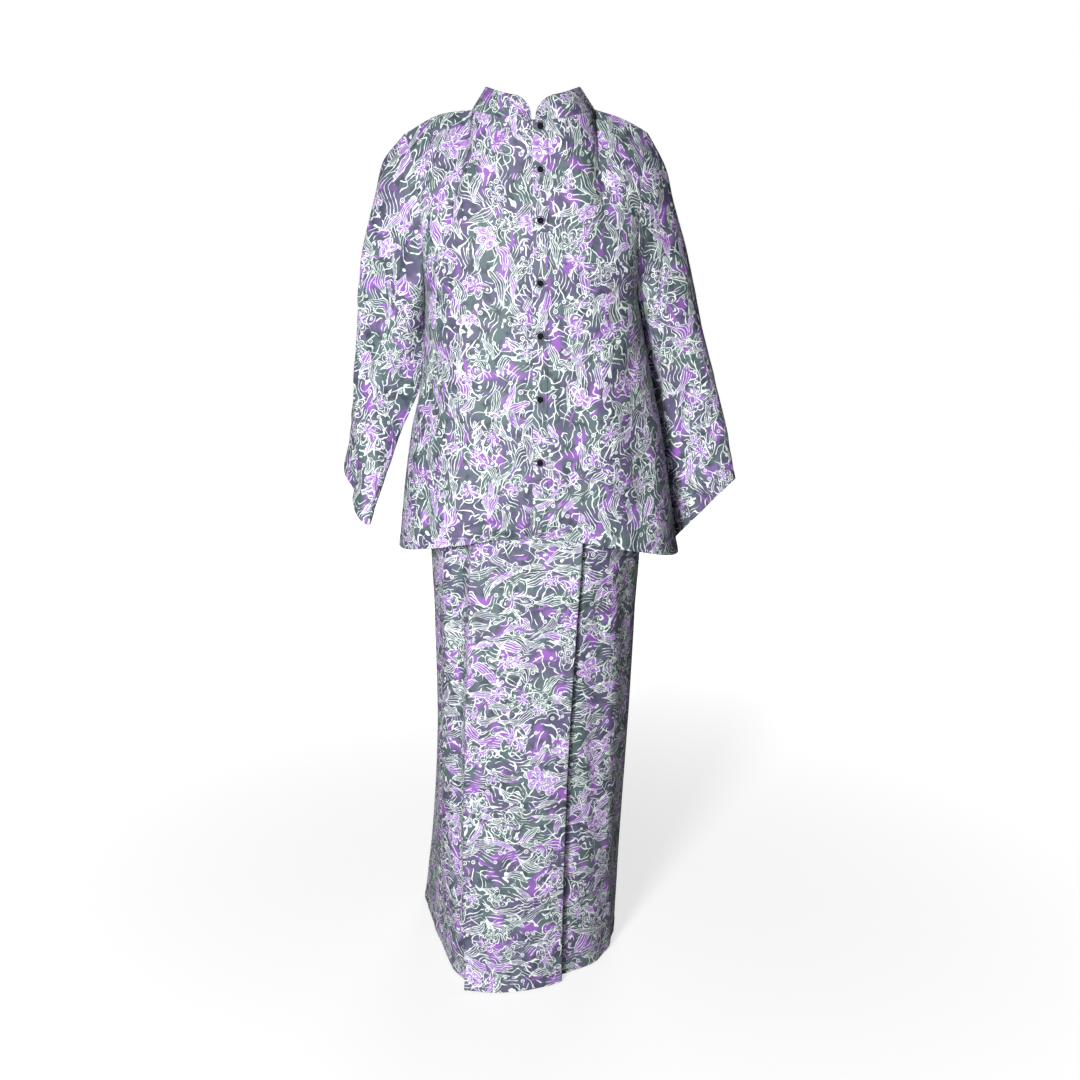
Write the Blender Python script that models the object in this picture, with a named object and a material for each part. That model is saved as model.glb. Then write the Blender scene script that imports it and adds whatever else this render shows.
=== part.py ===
"""A Malay baju kurung worn as a set: a hip-length tunic with a stand collar and a buttoned front, over a long
wrapped skirt. Each piece is a thin wall of cloth lofted through sections worked out from the sizes below.

Run it with blender --background --python part.py, or from Blender's text editor. Lengths are in metres and +Z is
up. The front faces -Y and +X is the wearer's left. The origin lies between the wearer's shoulders, 1.41 m above
the skirt's hem, and heights in the tables are measured from that hem.
"""

import math

import bmesh
import bpy
import numpy as np

# The wearer's stance: the height of the origin above the skirt's hem.
ORIGIN_HEIGHT = 1.41

# Cloth walls, and the gaps left at seams and between layers.
CLOTH = 0.0016
COLLAR_CLOTH = 0.0020
PLACKET_CLOTH = 0.0012
SEAM_GAP = 0.0003
LAYER_GAP = 0.0004

# How finely the walls are divided.
LOWER_ROWS = 9
UPPER_ROWS = 12
NECK_COLUMNS = 6
SHOULDER_COLUMNS = 6
SLEEVE_RINGS = 17
SKIRT_ROWS = 15
SKIRT_COLUMNS = {"front": 8, "right": 8, "back": 16, "left": 9}
DENSE = 240

# The tunic's sections: height, half width on the wearer's right and left, depth before and behind the side seams.
TUNIC_SECTIONS = {
    "height": (0.730, 0.850, 0.950, 1.030, 1.100, 1.165),
    "right": (0.220, 0.209, 0.193, 0.176, 0.170, 0.168),
    "left": (0.244, 0.226, 0.210, 0.193, 0.180, 0.168),
    "front": (0.141, 0.139, 0.136, 0.132, 0.128, 0.124),
    "back": (0.137, 0.133, 0.126, 0.118, 0.112, 0.108),
}
TUNIC_SQUARENESS = 2.5
UNDERARM_HEIGHT = 1.165

# The tunic's hem: its height at the centre front, where it is lifted, and at the sides and centre back.
HEM_FRONT = 0.787
HEM_SIDE = {"right": 0.749, "left": 0.737}
HEM_BACK = 0.748
HEM_CURL = 0.0152
HEM_CURL_HEIGHT = 0.034
HEM_CURL_HALF_WIDTH = 0.115

# The front opening. The wearer's left front laps over the right one and carries the placket.
LAP_EDGE_X = 0.003
PLACKET_WIDTH = 0.023
UNDERLAP_X = 0.021
UNDERLAP_DEPTH = 0.0026
UNDERLAP_STEP = 0.008

# Neckline and stand collar.
NECK_CENTRE_X = 0.004
NECK_HALF_WIDTH = 0.094
NECK_DEPTH = {"front": 0.080, "back": 0.074}
NECK_HEIGHT = {"front": 1.424, "side": 1.442, "back": 1.413}
COLLAR_TOP_HALF_WIDTH = 0.073
COLLAR_TOP_DEPTH = {"front": 0.064, "back": 0.062}
COLLAR_TOP_HEIGHT = {"front": 1.459, "side": 1.475, "back": 1.435}
# Each front end of the collar is rounded off over a width and a height.
COLLAR_CORNERS = {"left": (0.030, 0.030), "right": (0.026, 0.030)}
COLLAR_GAP = (0.0008, 0.0072)
COLLAR_LIFT = 0.0005
COLLAR_COLUMNS_NEAR_END = (0.0, 0.0012, 0.0045, 0.0100, 0.0180, 0.0300)
COLLAR_COLUMNS = 26
COLLAR_ROWS = 3

# Armholes: the lowest point, the shoulder point and the curve between them, before and behind.
BACK_FULLNESS = 0.008
SHOULDER_POINT = {"right": (-0.196, 0.004, 1.406), "left": (0.180, 0.004, 1.409)}
SHOULDER_RISE = {"right": 0.010, "left": 0.004}
ARMHOLE_HEIGHT = (1.195, 1.250, 1.310, 1.370)
ARMHOLE_OUT = {"right": (0.168, 0.169, 0.173, 0.184), "left": (0.168, 0.167, 0.169, 0.173)}
ARMHOLE_FRONT = (0.042, 0.056, 0.051, 0.030)
ARMHOLE_BACK = (0.040, 0.056, 0.054, 0.034)

# Sleeves: the upper edge runs from the shoulder point and the under edge from the underarm, to the cuff's two
# corners. The half thickness lies across the line between them.
SLEEVE_UPPER = {
    "right": (
        (-0.230, 0.004, 1.365),
        (-0.246, 0.008, 1.297),
        (-0.256, 0.012, 1.227),
        (-0.266, 0.020, 1.132),
        (-0.276, 0.032, 1.033),
        (-0.296, 0.048, 0.932),
        (-0.313, 0.060, 0.873),
    ),
    "left": (
        (0.206, 0.004, 1.365),
        (0.226, 0.004, 1.297),
        (0.243, 0.004, 1.227),
        (0.265, 0.005, 1.133),
        (0.292, 0.008, 1.036),
        (0.320, 0.012, 0.937),
        (0.338, 0.015, 0.852),
    ),
}
SLEEVE_UNDER = {
    "right": (
        (-0.180, 0.006, 1.110),
        (-0.187, 0.008, 1.050),
        (-0.201, -0.004, 0.990),
        (-0.220, -0.024, 0.935),
        (-0.246, -0.050, 0.860),
        (-0.266, -0.070, 0.795),
    ),
    "left": (
        (0.186, 0.022, 1.090),
        (0.198, 0.050, 1.005),
        (0.206, 0.070, 0.925),
        (0.218, 0.080, 0.825),
        (0.233, 0.082, 0.718),
    ),
}
BODY_CLEARANCE = 0.004
SLEEVE_FACE = {"right": (-0.86, -0.48, 0.15), "left": (-0.45, -0.88, -0.12)}
SLEEVE_HALF_THICKNESS = {
    "right": ((0.0, 0.061), (0.2, 0.055), (0.5, 0.043), (0.8, 0.028), (1.0, 0.018)),
    "left": ((0.0, 0.061), (0.2, 0.058), (0.5, 0.050), (0.8, 0.037), (1.0, 0.029)),
}

# Sleeve folds: the place round the sleeve (0 at the upper edge, 0.25 in front, 0.5 at the under edge), the share of
# its length where the fold is deepest, and its depth, half width round the sleeve and half length.
SLEEVE_FOLDS = {
    "right": (
        {"round": 0.26, "along": 0.34, "depth": 0.022, "half_round": 0.070, "half_along": 0.34},
        {"round": 0.72, "along": 0.45, "depth": 0.015, "half_round": 0.080, "half_along": 0.40},
        {"round": 0.21, "along": 1.00, "depth": 0.023, "half_round": 0.120, "half_along": 0.20},
    ),
    "left": (
        {"round": 0.33, "along": 0.42, "depth": 0.017, "half_round": 0.070, "half_along": 0.30},
        {"round": 0.17, "along": 0.66, "depth": 0.008, "half_round": 0.050, "half_along": 0.28},
        {"round": 0.74, "along": 0.50, "depth": 0.014, "half_round": 0.080, "half_along": 0.40},
    ),
}

# Buttons down the placket.
BUTTON_HEIGHTS = (1.416, 1.353, 1.279, 1.187, 1.108, 1.011, 0.913)
BUTTON_SIDES = 14
BUTTON_PROFILE = ((0.0046, 0.0), (0.0056, 0.0009), (0.0056, 0.0018), (0.0044, 0.0030), (0.0024, 0.0036))
BUTTON_TOP = 0.0038

# The skirt's sections, from its hem to the waistband seam. Each pair of rows holds the plan position of one line
# that runs down the skirt: the free fold of the wrap, the pressed crease at its other side, and so on round.
SKIRT_SECTIONS = {
    "height": (0.000, 0.200, 0.420, 0.620, 0.800, 0.890, 0.962),
    "fold_x": (0.052, 0.055, 0.062, 0.073, 0.083, 0.080, 0.070),
    "fold_y": (-0.133, -0.134, -0.130, -0.125, -0.117, -0.106, -0.090),
    "crease_x": (-0.113, -0.114, -0.109, -0.101, -0.092, -0.082, -0.070),
    "crease_y": (-0.161, -0.147, -0.131, -0.119, -0.109, -0.102, -0.090),
    "flank_x": (-0.160, -0.155, -0.147, -0.147, -0.144, -0.132, -0.108),
    "flank_y": (-0.022, -0.048, -0.062, -0.063, -0.065, -0.061, -0.056),
    "right_x": (-0.206, -0.181, -0.165, -0.165, -0.166, -0.152, -0.126),
    "right_y": (0.160, 0.080, 0.020, 0.005, 0.000, 0.000, 0.000),
    "back_x": (-0.030, -0.020, -0.005, 0.000, 0.000, 0.000, 0.000),
    "back_y": (0.205, 0.168, 0.137, 0.126, 0.121, 0.116, 0.104),
    "left_x": (0.151, 0.157, 0.167, 0.175, 0.178, 0.158, 0.126),
    "left_y": (0.060, 0.030, 0.010, 0.005, 0.000, 0.000, 0.000),
    "corner_x": (0.131, 0.139, 0.149, 0.153, 0.151, 0.137, 0.106),
    "corner_y": (-0.052, -0.056, -0.061, -0.066, -0.070, -0.064, -0.056),
    "bulge": (0.020, 0.014, 0.010, 0.008, 0.006, 0.007, 0.008),
    "stand_off": (0.021, 0.019, 0.017, 0.015, 0.012, 0.010, 0.008),
}
UNDERLAY_REACH = 0.050
BACK_ROUNDNESS = 0.76
FOLD_RETURN = 0.022
FOLD_RADIUS = 0.0030
WAISTBAND_HEIGHT = 0.036
WAISTBAND_COLUMNS = 40

COLOURS = {
    "cloth": (0.185, 0.215, 0.230),
    "button": (0.120, 0.115, 0.150),
}


def hermite(knots, values, at):
    """A smooth curve through values at knots, read at each place in at. Values may be numbers or points."""
    knots = np.asarray(knots, float)
    values = np.asarray(values, float)
    at = np.clip(np.asarray(at, float), knots[0], knots[-1])
    slopes = np.gradient(values, knots, axis=0)
    left = np.clip(np.searchsorted(knots, at, side="right") - 1, 0, len(knots) - 2)
    span = knots[left + 1] - knots[left]
    t = (at - knots[left]) / span
    if values.ndim > 1:
        t, span = t[..., None], span[..., None]
    return (
        (2 * t**3 - 3 * t**2 + 1) * values[left]
        + (t**3 - 2 * t**2 + t) * span * slopes[left]
        + (3 * t**2 - 2 * t**3) * values[left + 1]
        + (t**3 - t**2) * span * slopes[left + 1]
    )


def lengths(points):
    """The distance along a line of points, starting at 0."""
    steps = np.linalg.norm(np.diff(points, axis=0), axis=1)
    return np.concatenate([[0.0], np.cumsum(steps)])


def at_distances(points, distances):
    """Points on a line of points, at these distances along it."""
    along = lengths(points)
    return np.stack([np.interp(distances, along, points[:, k]) for k in range(points.shape[1])], axis=1)


def spaced(total, count, fixed=()):
    """count + 1 distances from 0 to total: even ones after those that are fixed."""
    if not len(fixed):
        return np.linspace(0, total, count + 1)
    return np.concatenate([[0.0], fixed[:-1], np.linspace(fixed[-1], total, count + 1 - len(fixed))])


def evenly(points, count, fixed=()):
    """count + 1 points along a line, spaced evenly after the fixed distances from its start."""
    return at_distances(points, spaced(lengths(points)[-1], count, fixed))


def through(points, count):
    """A dense smooth line through a few points."""
    points = np.asarray(points, float)
    return hermite(lengths(points), points, np.linspace(0, lengths(points)[-1], count))


def smooth_step(low, high, at):
    t = np.clip((np.asarray(at, float) - low) / (high - low), 0, 1)
    return t * t * (3 - 2 * t)


def unit(vectors):
    return vectors / np.maximum(np.linalg.norm(vectors, axis=-1, keepdims=True), 1e-12)


def sign_of(side):
    """-1 on the wearer's right, +1 on the left."""
    return {"right": -1.0, "left": 1.0}[side]


# The tunic's body.


def tunic_size(name, height):
    return hermite(TUNIC_SECTIONS["height"], TUNIC_SECTIONS[name], height)


def tunic_point(turn, height):
    """The tunic's outer surface at a turn about the body, 0 at the centre front and a half turn behind."""
    turn, height = np.broadcast_arrays(np.asarray(turn, float), np.asarray(height, float))
    power = 2 / TUNIC_SQUARENESS
    half_width = np.where(np.sin(turn) < 0, tunic_size("right", height), tunic_size("left", height))
    depth = np.where(np.cos(turn) > 0, -tunic_size("front", height), tunic_size("back", height))
    across = np.sign(np.sin(turn)) * half_width * np.abs(np.sin(turn)) ** power
    return np.stack([across, depth * np.abs(np.cos(turn)) ** power, height], axis=-1)


def turn_at(x, height):
    """The turn at which the tunic's front reaches x."""
    half_width = float(tunic_size("right" if x < 0 else "left", height))
    return math.copysign(math.asin((abs(x) / half_width) ** (TUNIC_SQUARENESS / 2)), x)


def even_turns(start, end, height, count, fixed=()):
    """Turns from start to end that space points round the tunic at one height."""
    turns = np.linspace(start, end, DENSE)
    along = lengths(tunic_point(turns, height))
    return np.interp(spaced(along[-1], count, fixed), along, turns)


def hem_height(turn):
    """The hem's height round the tunic: high in front, low at the sides."""
    side = np.where(np.sin(turn) < 0, HEM_SIDE["right"], HEM_SIDE["left"])
    middle = np.where(np.cos(turn) > 0, HEM_FRONT, HEM_BACK)
    return middle + (side - middle) * np.abs(np.sin(turn)) ** 1.6


def lower_grid(first_turn, end, count, fixed=()):
    """The tunic below the underarm, hem row first. first_turn gives the turn of its first column at a height."""
    rows = []
    for share in np.linspace(0, 1, LOWER_ROWS + 1):
        mean = HEM_SIDE["left"] + share * (UNDERARM_HEIGHT - HEM_SIDE["left"])
        turns = even_turns(first_turn(mean), end, mean, count, fixed)
        height = hem_height(turns) + share * (UNDERARM_HEIGHT - hem_height(turns))
        rows.append(tunic_point(turns, height))
    return np.array(rows)


def curl_hem(points):
    """Turns the middle of the front hem in towards the body, as it hangs."""
    x, y, z = points[..., 0], points[..., 1], points[..., 2]
    near = 1 - smooth_step(0.0, HEM_CURL_HEIGHT, z - z[:1])
    middle = 1 - smooth_step(0.45, 1.0, np.abs(x - LAP_EDGE_X) / HEM_CURL_HALF_WIDTH)
    points[..., 1] = y + HEM_CURL * near * middle
    return points


def neck_point(turn):
    """The neckline at a turn, 0 at the centre front and a half turn behind."""
    turn = np.asarray(turn, float)
    ahead = np.cos(turn) > 0
    depth = np.where(ahead, -NECK_DEPTH["front"], NECK_DEPTH["back"])
    middle = np.where(ahead, NECK_HEIGHT["front"], NECK_HEIGHT["back"])
    x = NECK_CENTRE_X + NECK_HALF_WIDTH * np.sin(turn)
    z = middle + (NECK_HEIGHT["side"] - middle) * np.abs(np.sin(turn)) ** 1.5
    return np.stack([x, depth * np.abs(np.cos(turn)), z], axis=-1)


def shoulder_line(side):
    """The shoulder seam, from the neckline out to the shoulder point."""
    inner = neck_point(sign_of(side) * math.pi / 2)
    outer = np.array(SHOULDER_POINT[side])
    middle = (inner + outer) / 2 + np.array([0, 0, SHOULDER_RISE[side]])
    return through([inner, middle, outer], DENSE)


def armhole(side, face):
    """The armhole's front or back curve, from the underarm up to the shoulder point."""
    out = np.array(ARMHOLE_OUT[side]) * sign_of(side)
    depth = -np.array(ARMHOLE_FRONT) if face == "front" else np.array(ARMHOLE_BACK)
    between = np.stack([out, depth, np.array(ARMHOLE_HEIGHT)], axis=1)
    low = tunic_point(sign_of(side) * math.pi / 2, UNDERARM_HEIGHT)
    return evenly(through(np.vstack([low, between, SHOULDER_POINT[side]]), DENSE), UPPER_ROWS)


def rise(low, top, lean, v):
    """Columns that leave the tunic's lower part smoothly and lean over the shoulder by the share in lean."""
    chord = top - low[-1]
    length = np.linalg.norm(chord, axis=-1, keepdims=True)
    start = unit(low[-1] - low[-2]) * length
    end = chord.copy()
    end[:, 1] += lean * length[:, 0]
    v = v[:, None, None]
    return (
        (2 * v**3 - 3 * v**2 + 1) * low[-1]
        + (v**3 - 2 * v**2 + v) * start
        + (3 * v**2 - 2 * v**3) * top
        + (v**3 - v**2) * end
    )


def lean_at(top):
    """How far each column leans over the shoulder: not at all near the centre line, most beyond the neck."""
    return 0.5 * smooth_step(0.0, 0.150, np.abs(top[:, 0] - NECK_CENTRE_X))


def bend_edge(points, edge, column, reach):
    """Bends one side of a patch onto its edge curve. The bend fades out over a share of the patch's width."""
    count = points.shape[1] - 1
    away = np.abs(np.arange(count + 1) - (column % (count + 1))) / count
    weight = np.clip(1 - away / reach, 0, 1) ** 1.8
    return points + weight[None, :, None] * (edge - points[:, column])[:, None]


def front_panel(side):
    """The outer points of one front, from its opening edge to its side seam and armhole."""
    columns = NECK_COLUMNS + SHOULDER_COLUMNS
    edge_x, fixed = LAP_EDGE_X, [PLACKET_WIDTH]
    if side == "right":
        under = UNDERLAP_X - LAP_EDGE_X
        edge_x, fixed, columns = UNDERLAP_X, [under, under + UNDERLAP_STEP], columns + 1
    quarter = sign_of(side) * math.pi / 2
    low = curl_hem(lower_grid(lambda height: turn_at(edge_x, height), quarter, columns, fixed))
    neck_start = math.asin((edge_x - NECK_CENTRE_X) / NECK_HALF_WIDTH)
    neck_line = neck_point(np.linspace(neck_start, quarter, DENSE))
    neck = evenly(neck_line, columns - SHOULDER_COLUMNS, fixed)
    shoulder = evenly(shoulder_line(side), SHOULDER_COLUMNS)
    top = np.vstack([neck, shoulder[1:]])
    v = np.linspace(0, 1, UPPER_ROWS + 1)
    high = bend_edge(rise(low, top, lean_at(top), v), armhole(side, "front"), -1, 0.7)
    points = np.vstack([low, high[1:]])
    if side == "right":
        points[:, :2, 1] += UNDERLAP_DEPTH
    return points


def back_panel():
    """The outer points of the back, from the wearer's left side seam to the right one."""
    columns = 2 * (NECK_COLUMNS + SHOULDER_COLUMNS)
    low = lower_grid(lambda height: math.pi / 2, 3 * math.pi / 2, columns)
    neck = evenly(neck_point(np.linspace(math.pi / 2, 3 * math.pi / 2, DENSE)), 2 * NECK_COLUMNS)
    left = evenly(shoulder_line("left"), SHOULDER_COLUMNS)[::-1]
    right = evenly(shoulder_line("right"), SHOULDER_COLUMNS)
    top = np.vstack([left, neck[1:-1], right])
    v = np.linspace(0, 1, UPPER_ROWS + 1)
    across = np.linspace(-1, 1, columns + 1)
    high = rise(low, top, -lean_at(top), v)
    high = bend_edge(high, armhole("left", "back"), 0, 0.5)
    high = bend_edge(high, armhole("right", "back"), -1, 0.5)
    high[..., 1] += BACK_FULLNESS * np.sin(math.pi * v)[:, None] ** 2 * (1 - across**2)
    return np.vstack([low, high[1:]])


# Sleeves.


def sleeve_grid(side):
    """The sleeve's outer rings, from the armhole to the cuff. Columns run from the top, round the front and back."""
    front = armhole(side, "front")[::-1]
    back = armhole(side, "back")
    loop = np.vstack([front, back[1:-1]])
    turns = np.arange(2 * UPPER_ROWS) * math.pi / UPPER_ROWS
    upper = evenly(through(np.vstack([front[:1], SLEEVE_UPPER[side]]), DENSE), SLEEVE_RINGS)
    under = evenly(through(np.vstack([back[:1], SLEEVE_UNDER[side]]), DENSE), SLEEVE_RINGS)
    fall = ((1 - np.cos(turns)) / 2)[:, None]
    loop_bow = loop - (loop[0] + (loop[UPPER_ROWS] - loop[0]) * fall)
    knots, half = np.array(SLEEVE_HALF_THICKNESS[side]).T
    rings = []
    for share, top, bottom in zip(np.linspace(0, 1, SLEEVE_RINGS + 1), upper, under):
        axis = unit(top - bottom)
        face = np.array(SLEEVE_FACE[side])
        face = unit(face - (face @ axis) * axis)
        bow = hermite(knots, half, share) * np.sin(turns)[:, None] * face
        weight = smooth_step(0, 0.34, share)
        rings.append(top + (bottom - top) * fall + (1 - weight) * loop_bow + weight * bow)
    return clear_of_body(press_folds(np.array(rings), side))


def clear_of_body(points):
    """Moves the sleeve's points that would reach into the tunic's body out until they are just clear of it."""
    x, y, z = points[..., 0], points[..., 1], points[..., 2]
    near = np.clip(np.arange(len(points)) / 3, 0, 1)[:, None]
    half_width = np.where(x < 0, tunic_size("right", z), tunic_size("left", z)) + BODY_CLEARANCE * near
    depth = np.where(y < 0, tunic_size("front", z), tunic_size("back", z)) + BODY_CLEARANCE * near
    power = TUNIC_SQUARENESS
    reach = ((np.abs(x) / half_width) ** power + (np.abs(y) / depth) ** power) ** (1 / power)
    push = np.where((reach < 1) & (near > 0) & (z < UNDERARM_HEIGHT), 1 / np.maximum(reach, 0.3), 1.0)
    points[..., 0] *= push
    points[..., 1] *= push
    return points


def press_folds(points, side):
    """Presses the sleeve's folds in towards the middle of its rings."""
    rings, columns = points.shape[:2]
    inward = unit(points.mean(axis=1, keepdims=True) - points)
    along = np.linspace(0, 1, rings)[:, None]
    around = np.arange(columns)[None, :] / columns
    for fold in SLEEVE_FOLDS[side]:
        away = np.abs((around - fold["round"] + 0.5) % 1 - 0.5) / fold["half_round"]
        far = np.abs(along - fold["along"]) / fold["half_along"]
        depth = fold["depth"] * np.exp(-(away**2)) * np.clip(1 - far**2, 0, 1)
        points = points + inward * (depth * smooth_step(0, 0.12, along))[..., None]
    return points


# The skirt.


def skirt_line(name, height):
    """The plan positions of one of the skirt's lines at these heights."""
    x = hermite(SKIRT_SECTIONS["height"], SKIRT_SECTIONS[name + "_x"], height)
    y = hermite(SKIRT_SECTIONS["height"], SKIRT_SECTIONS[name + "_y"], height)
    return np.stack([x, y], axis=-1)


def skirt_size(name, height):
    return float(hermite(SKIRT_SECTIONS["height"], SKIRT_SECTIONS[name], height))


def wrap_front(height):
    """The wrap's front in plan, from its free fold to the pressed crease, bowed a little to the front."""
    fold, crease = skirt_line("fold", height), skirt_line("crease", height)
    share = np.linspace(0, 1, DENSE)[:, None]
    line = fold + (crease - fold) * share
    line[:, 1] -= skirt_size("bulge", height) * np.sin(math.pi * share[:, 0])
    return line


def front_section(height):
    """skirt_front in plan: the turned-in edge, the fold, the front, the pressed crease and the wearer's right."""
    front = wrap_front(height)
    ahead = unit(front[3] - front[0])
    outward = np.array([ahead[1], -ahead[0]])
    outward = outward if outward[1] < 0 else -outward
    centre = front[0] + ahead * FOLD_RADIUS - outward * FOLD_RADIUS
    turns = np.linspace(math.pi, 0, 6)[:, None]
    turn_back = centre - ahead * FOLD_RADIUS * np.sin(turns) + outward * FOLD_RADIUS * np.cos(turns)
    keep = lengths(front) > FOLD_RADIUS
    tail = at_distances(front, np.array([FOLD_RETURN])) - outward * 2 * FOLD_RADIUS
    columns = SKIRT_COLUMNS["front"]
    flat = evenly(front[keep], columns)[1:]
    flank = through([front[-1], skirt_line("flank", height), skirt_line("right", height)], DENSE)
    return np.vstack([tail, turn_back, flat, evenly(flank, SKIRT_COLUMNS["right"])[1:]])


def quarter_round(start, end):
    """Part of the back in plan: it leaves start towards +Y and arrives at end along X."""
    corner = np.array([start[0], end[1]])
    t = np.linspace(0, 1, DENSE)[:, None]
    first = start + (corner - start) * BACK_ROUNDNESS
    second = end + (corner - end) * BACK_ROUNDNESS
    return (1 - t) ** 3 * start + 3 * (1 - t) ** 2 * t * first + 3 * (1 - t) * t**2 * second + t**3 * end


def back_section(height):
    """skirt_back in plan, from the wearer's right seam to the left one."""
    right, back, left = (skirt_line(name, height) for name in ("right", "back", "left"))
    line = np.vstack([quarter_round(right, back), quarter_round(left, back)[::-1][1:]])
    return evenly(line, SKIRT_COLUMNS["back"])


def under_section(height):
    """skirt_under in plan: from the wearer's left seam, round the corner and in beneath the wrap's front."""
    front = wrap_front(height)
    stand_off = np.array([0, skirt_size("stand_off", height)])
    begin = at_distances(front, np.array([0.004]))[0] + stand_off
    reach = at_distances(front, np.array([UNDERLAY_REACH]))[0] + stand_off * 0.8
    side = through([skirt_line("left", height), skirt_line("corner", height), begin, reach], DENSE)
    return evenly(side, SKIRT_COLUMNS["left"])


def skirt_grid(section):
    heights = np.linspace(SKIRT_SECTIONS["height"][0], SKIRT_SECTIONS["height"][-1], SKIRT_ROWS + 1)
    rows = []
    for height in heights:
        plan = section(height)
        rows.append(np.column_stack([plan, np.full(len(plan), height)]))
    return np.array(rows)


# Walls of cloth.


def make_piece(points, centre=None):
    """A piece's outer points and their outward normals. centre is what its outside faces away from."""
    closed = centre == "rings"
    if closed:
        across = np.roll(points, -1, axis=1) - np.roll(points, 1, axis=1)
        middle = points.mean(axis=1, keepdims=True)
    else:
        across = np.gradient(points, axis=1)
        middle = points * np.array([0, 0, 1]) + np.append(centre or (0, 0), 0)
    normals = unit(np.cross(across, np.gradient(points, axis=0)))
    if np.sum(normals * (points - middle)) < 0:
        normals = -normals
    return {"points": points, "normals": normals, "shift": np.zeros_like(points), "closed": closed}


def share_normals(pieces):
    """Gives the points that pieces share at a seam one normal, so that their cut edges lie face to face."""
    sums = {}
    for piece in pieces:
        keys = [tuple(key) for key in np.round(piece["points"].reshape(-1, 3), 6)]
        for key, normal in zip(keys, piece["normals"].reshape(-1, 3)):
            sums[key] = sums.get(key, 0) + normal
    for piece in pieces:
        shape = piece["points"].shape
        keys = [tuple(key) for key in np.round(piece["points"].reshape(-1, 3), 6)]
        piece["normals"] = unit(np.array([sums[key] for key in keys])).reshape(shape)


def part_seam(first, first_edge, second, second_edge):
    """Moves two pieces apart by the seam's gap. Both edges list the same points in the same order."""
    points = first["points"][first_edge]
    across = unit(np.cross(np.gradient(points, axis=0), first["normals"][first_edge]))
    inside = first["points"].mean(axis=(0, 1)) - points.mean(axis=0)
    if across.mean(axis=0) @ inside < 0:
        across = -across
    first["shift"][first_edge] += across * SEAM_GAP / 2
    second["shift"][second_edge] -= across * SEAM_GAP / 2


def sew_tunic(pieces):
    """Shares normals at the tunic's seams and opens each seam by its gap."""
    share_normals([pieces[name] for name in ("front_left", "front_right", "back", "sleeve_left", "sleeve_right")])
    low = np.arange(LOWER_ROWS + 1)
    high = np.arange(LOWER_ROWS, LOWER_ROWS + UPPER_ROWS + 1)
    climb = np.arange(UPPER_ROWS, -1, -1)
    seam = np.arange(SHOULDER_COLUMNS + 1)
    for side in ("left", "right"):
        front, sleeve, back = pieces["front_" + side], pieces["sleeve_" + side], pieces["back"]
        back_side = 0 if side == "left" else -1
        outward = -1 - SHOULDER_COLUMNS + seam
        back_shoulder = seam[::-1] if side == "left" else outward
        part_seam(front, (low, np.full_like(low, -1)), back, (low, np.full_like(low, back_side)))
        part_seam(front, (high, np.full_like(high, -1)), sleeve, (np.zeros_like(climb), climb))
        behind = (UPPER_ROWS + np.arange(UPPER_ROWS + 1)) % (2 * UPPER_ROWS)
        part_seam(back, (high, np.full_like(high, back_side)), sleeve, (np.zeros_like(behind), behind))
        part_seam(front, (np.full_like(seam, -1), outward), back, (np.full_like(seam, -1), back_shoulder))


def sew_skirt(pieces):
    share_normals([pieces[name] for name in ("skirt_front", "skirt_back", "skirt_under")])
    rows = np.arange(SKIRT_ROWS + 1)
    first, last = np.zeros_like(rows), np.full_like(rows, -1)
    part_seam(pieces["skirt_front"], (rows, last), pieces["skirt_back"], (rows, first))
    part_seam(pieces["skirt_back"], (rows, last), pieces["skirt_under"], (rows, first))


def strip_faces(first, second):
    """Triangles between two lines of corner numbers."""
    faces = []
    for a, b, c, d in zip(first[:-1], first[1:], second[1:], second[:-1]):
        faces += [(a, b, c), (a, c, d)]
    return faces


def add_object(name, corners, faces, colour):
    """Adds a closed mesh whose faces are turned outward, with one plain material."""
    mesh = bpy.data.meshes.new(name)
    mesh.from_pydata([tuple(map(float, corner)) for corner in corners], [], faces)
    work = bmesh.new()
    work.from_mesh(mesh)
    bmesh.ops.recalc_face_normals(work, faces=work.faces)
    if work.calc_volume(signed=True) < 0:
        bmesh.ops.reverse_faces(work, faces=work.faces)
    work.to_mesh(mesh)
    work.free()
    for polygon in mesh.polygons:
        polygon.use_smooth = False
    mesh.materials.append(colour)
    made = bpy.data.objects.new(name, mesh)
    bpy.context.scene.collection.objects.link(made)
    return made


def add_wall(name, piece, thickness, colour):
    """Adds a piece of cloth: its outer points, the same points moved in by its thickness, and its cut edges."""
    outer = piece["points"] + piece["shift"]
    inner = outer - piece["normals"] * thickness
    rows, columns = outer.shape[:2]
    corners = np.vstack([outer.reshape(-1, 3), inner.reshape(-1, 3)])
    corners[:, 2] -= ORIGIN_HEIGHT
    front = np.arange(rows * columns).reshape(rows, columns)
    if piece["closed"]:
        front = np.column_stack([front, front[:, 0]])
    behind = front + rows * columns
    faces = []
    for low, high in zip(front[:-1], front[1:]):
        faces += strip_faces(low, high)
    for low, high in zip(behind[:-1], behind[1:]):
        faces += [face[::-1] for face in strip_faces(low, high)]
    faces += strip_faces(behind[0], front[0])
    faces += strip_faces(front[-1], behind[-1])
    if not piece["closed"]:
        faces += strip_faces(front[:, 0], behind[:, 0])
        faces += strip_faces(behind[:, -1], front[:, -1])
    return add_object(name, corners, faces, colour)


def placket_piece(front):
    """The placket, made from the first columns of the wearer's left front and moved out."""
    points = (front["points"] + front["shift"])[:, :2].copy()
    normals = front["normals"][:, :2]
    points += normals * (LAYER_GAP + PLACKET_CLOTH)
    points[-1] += (points[-2] - points[-1]) * 0.10
    return {"points": points, "normals": normals, "shift": np.zeros_like(points), "closed": False}


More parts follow.
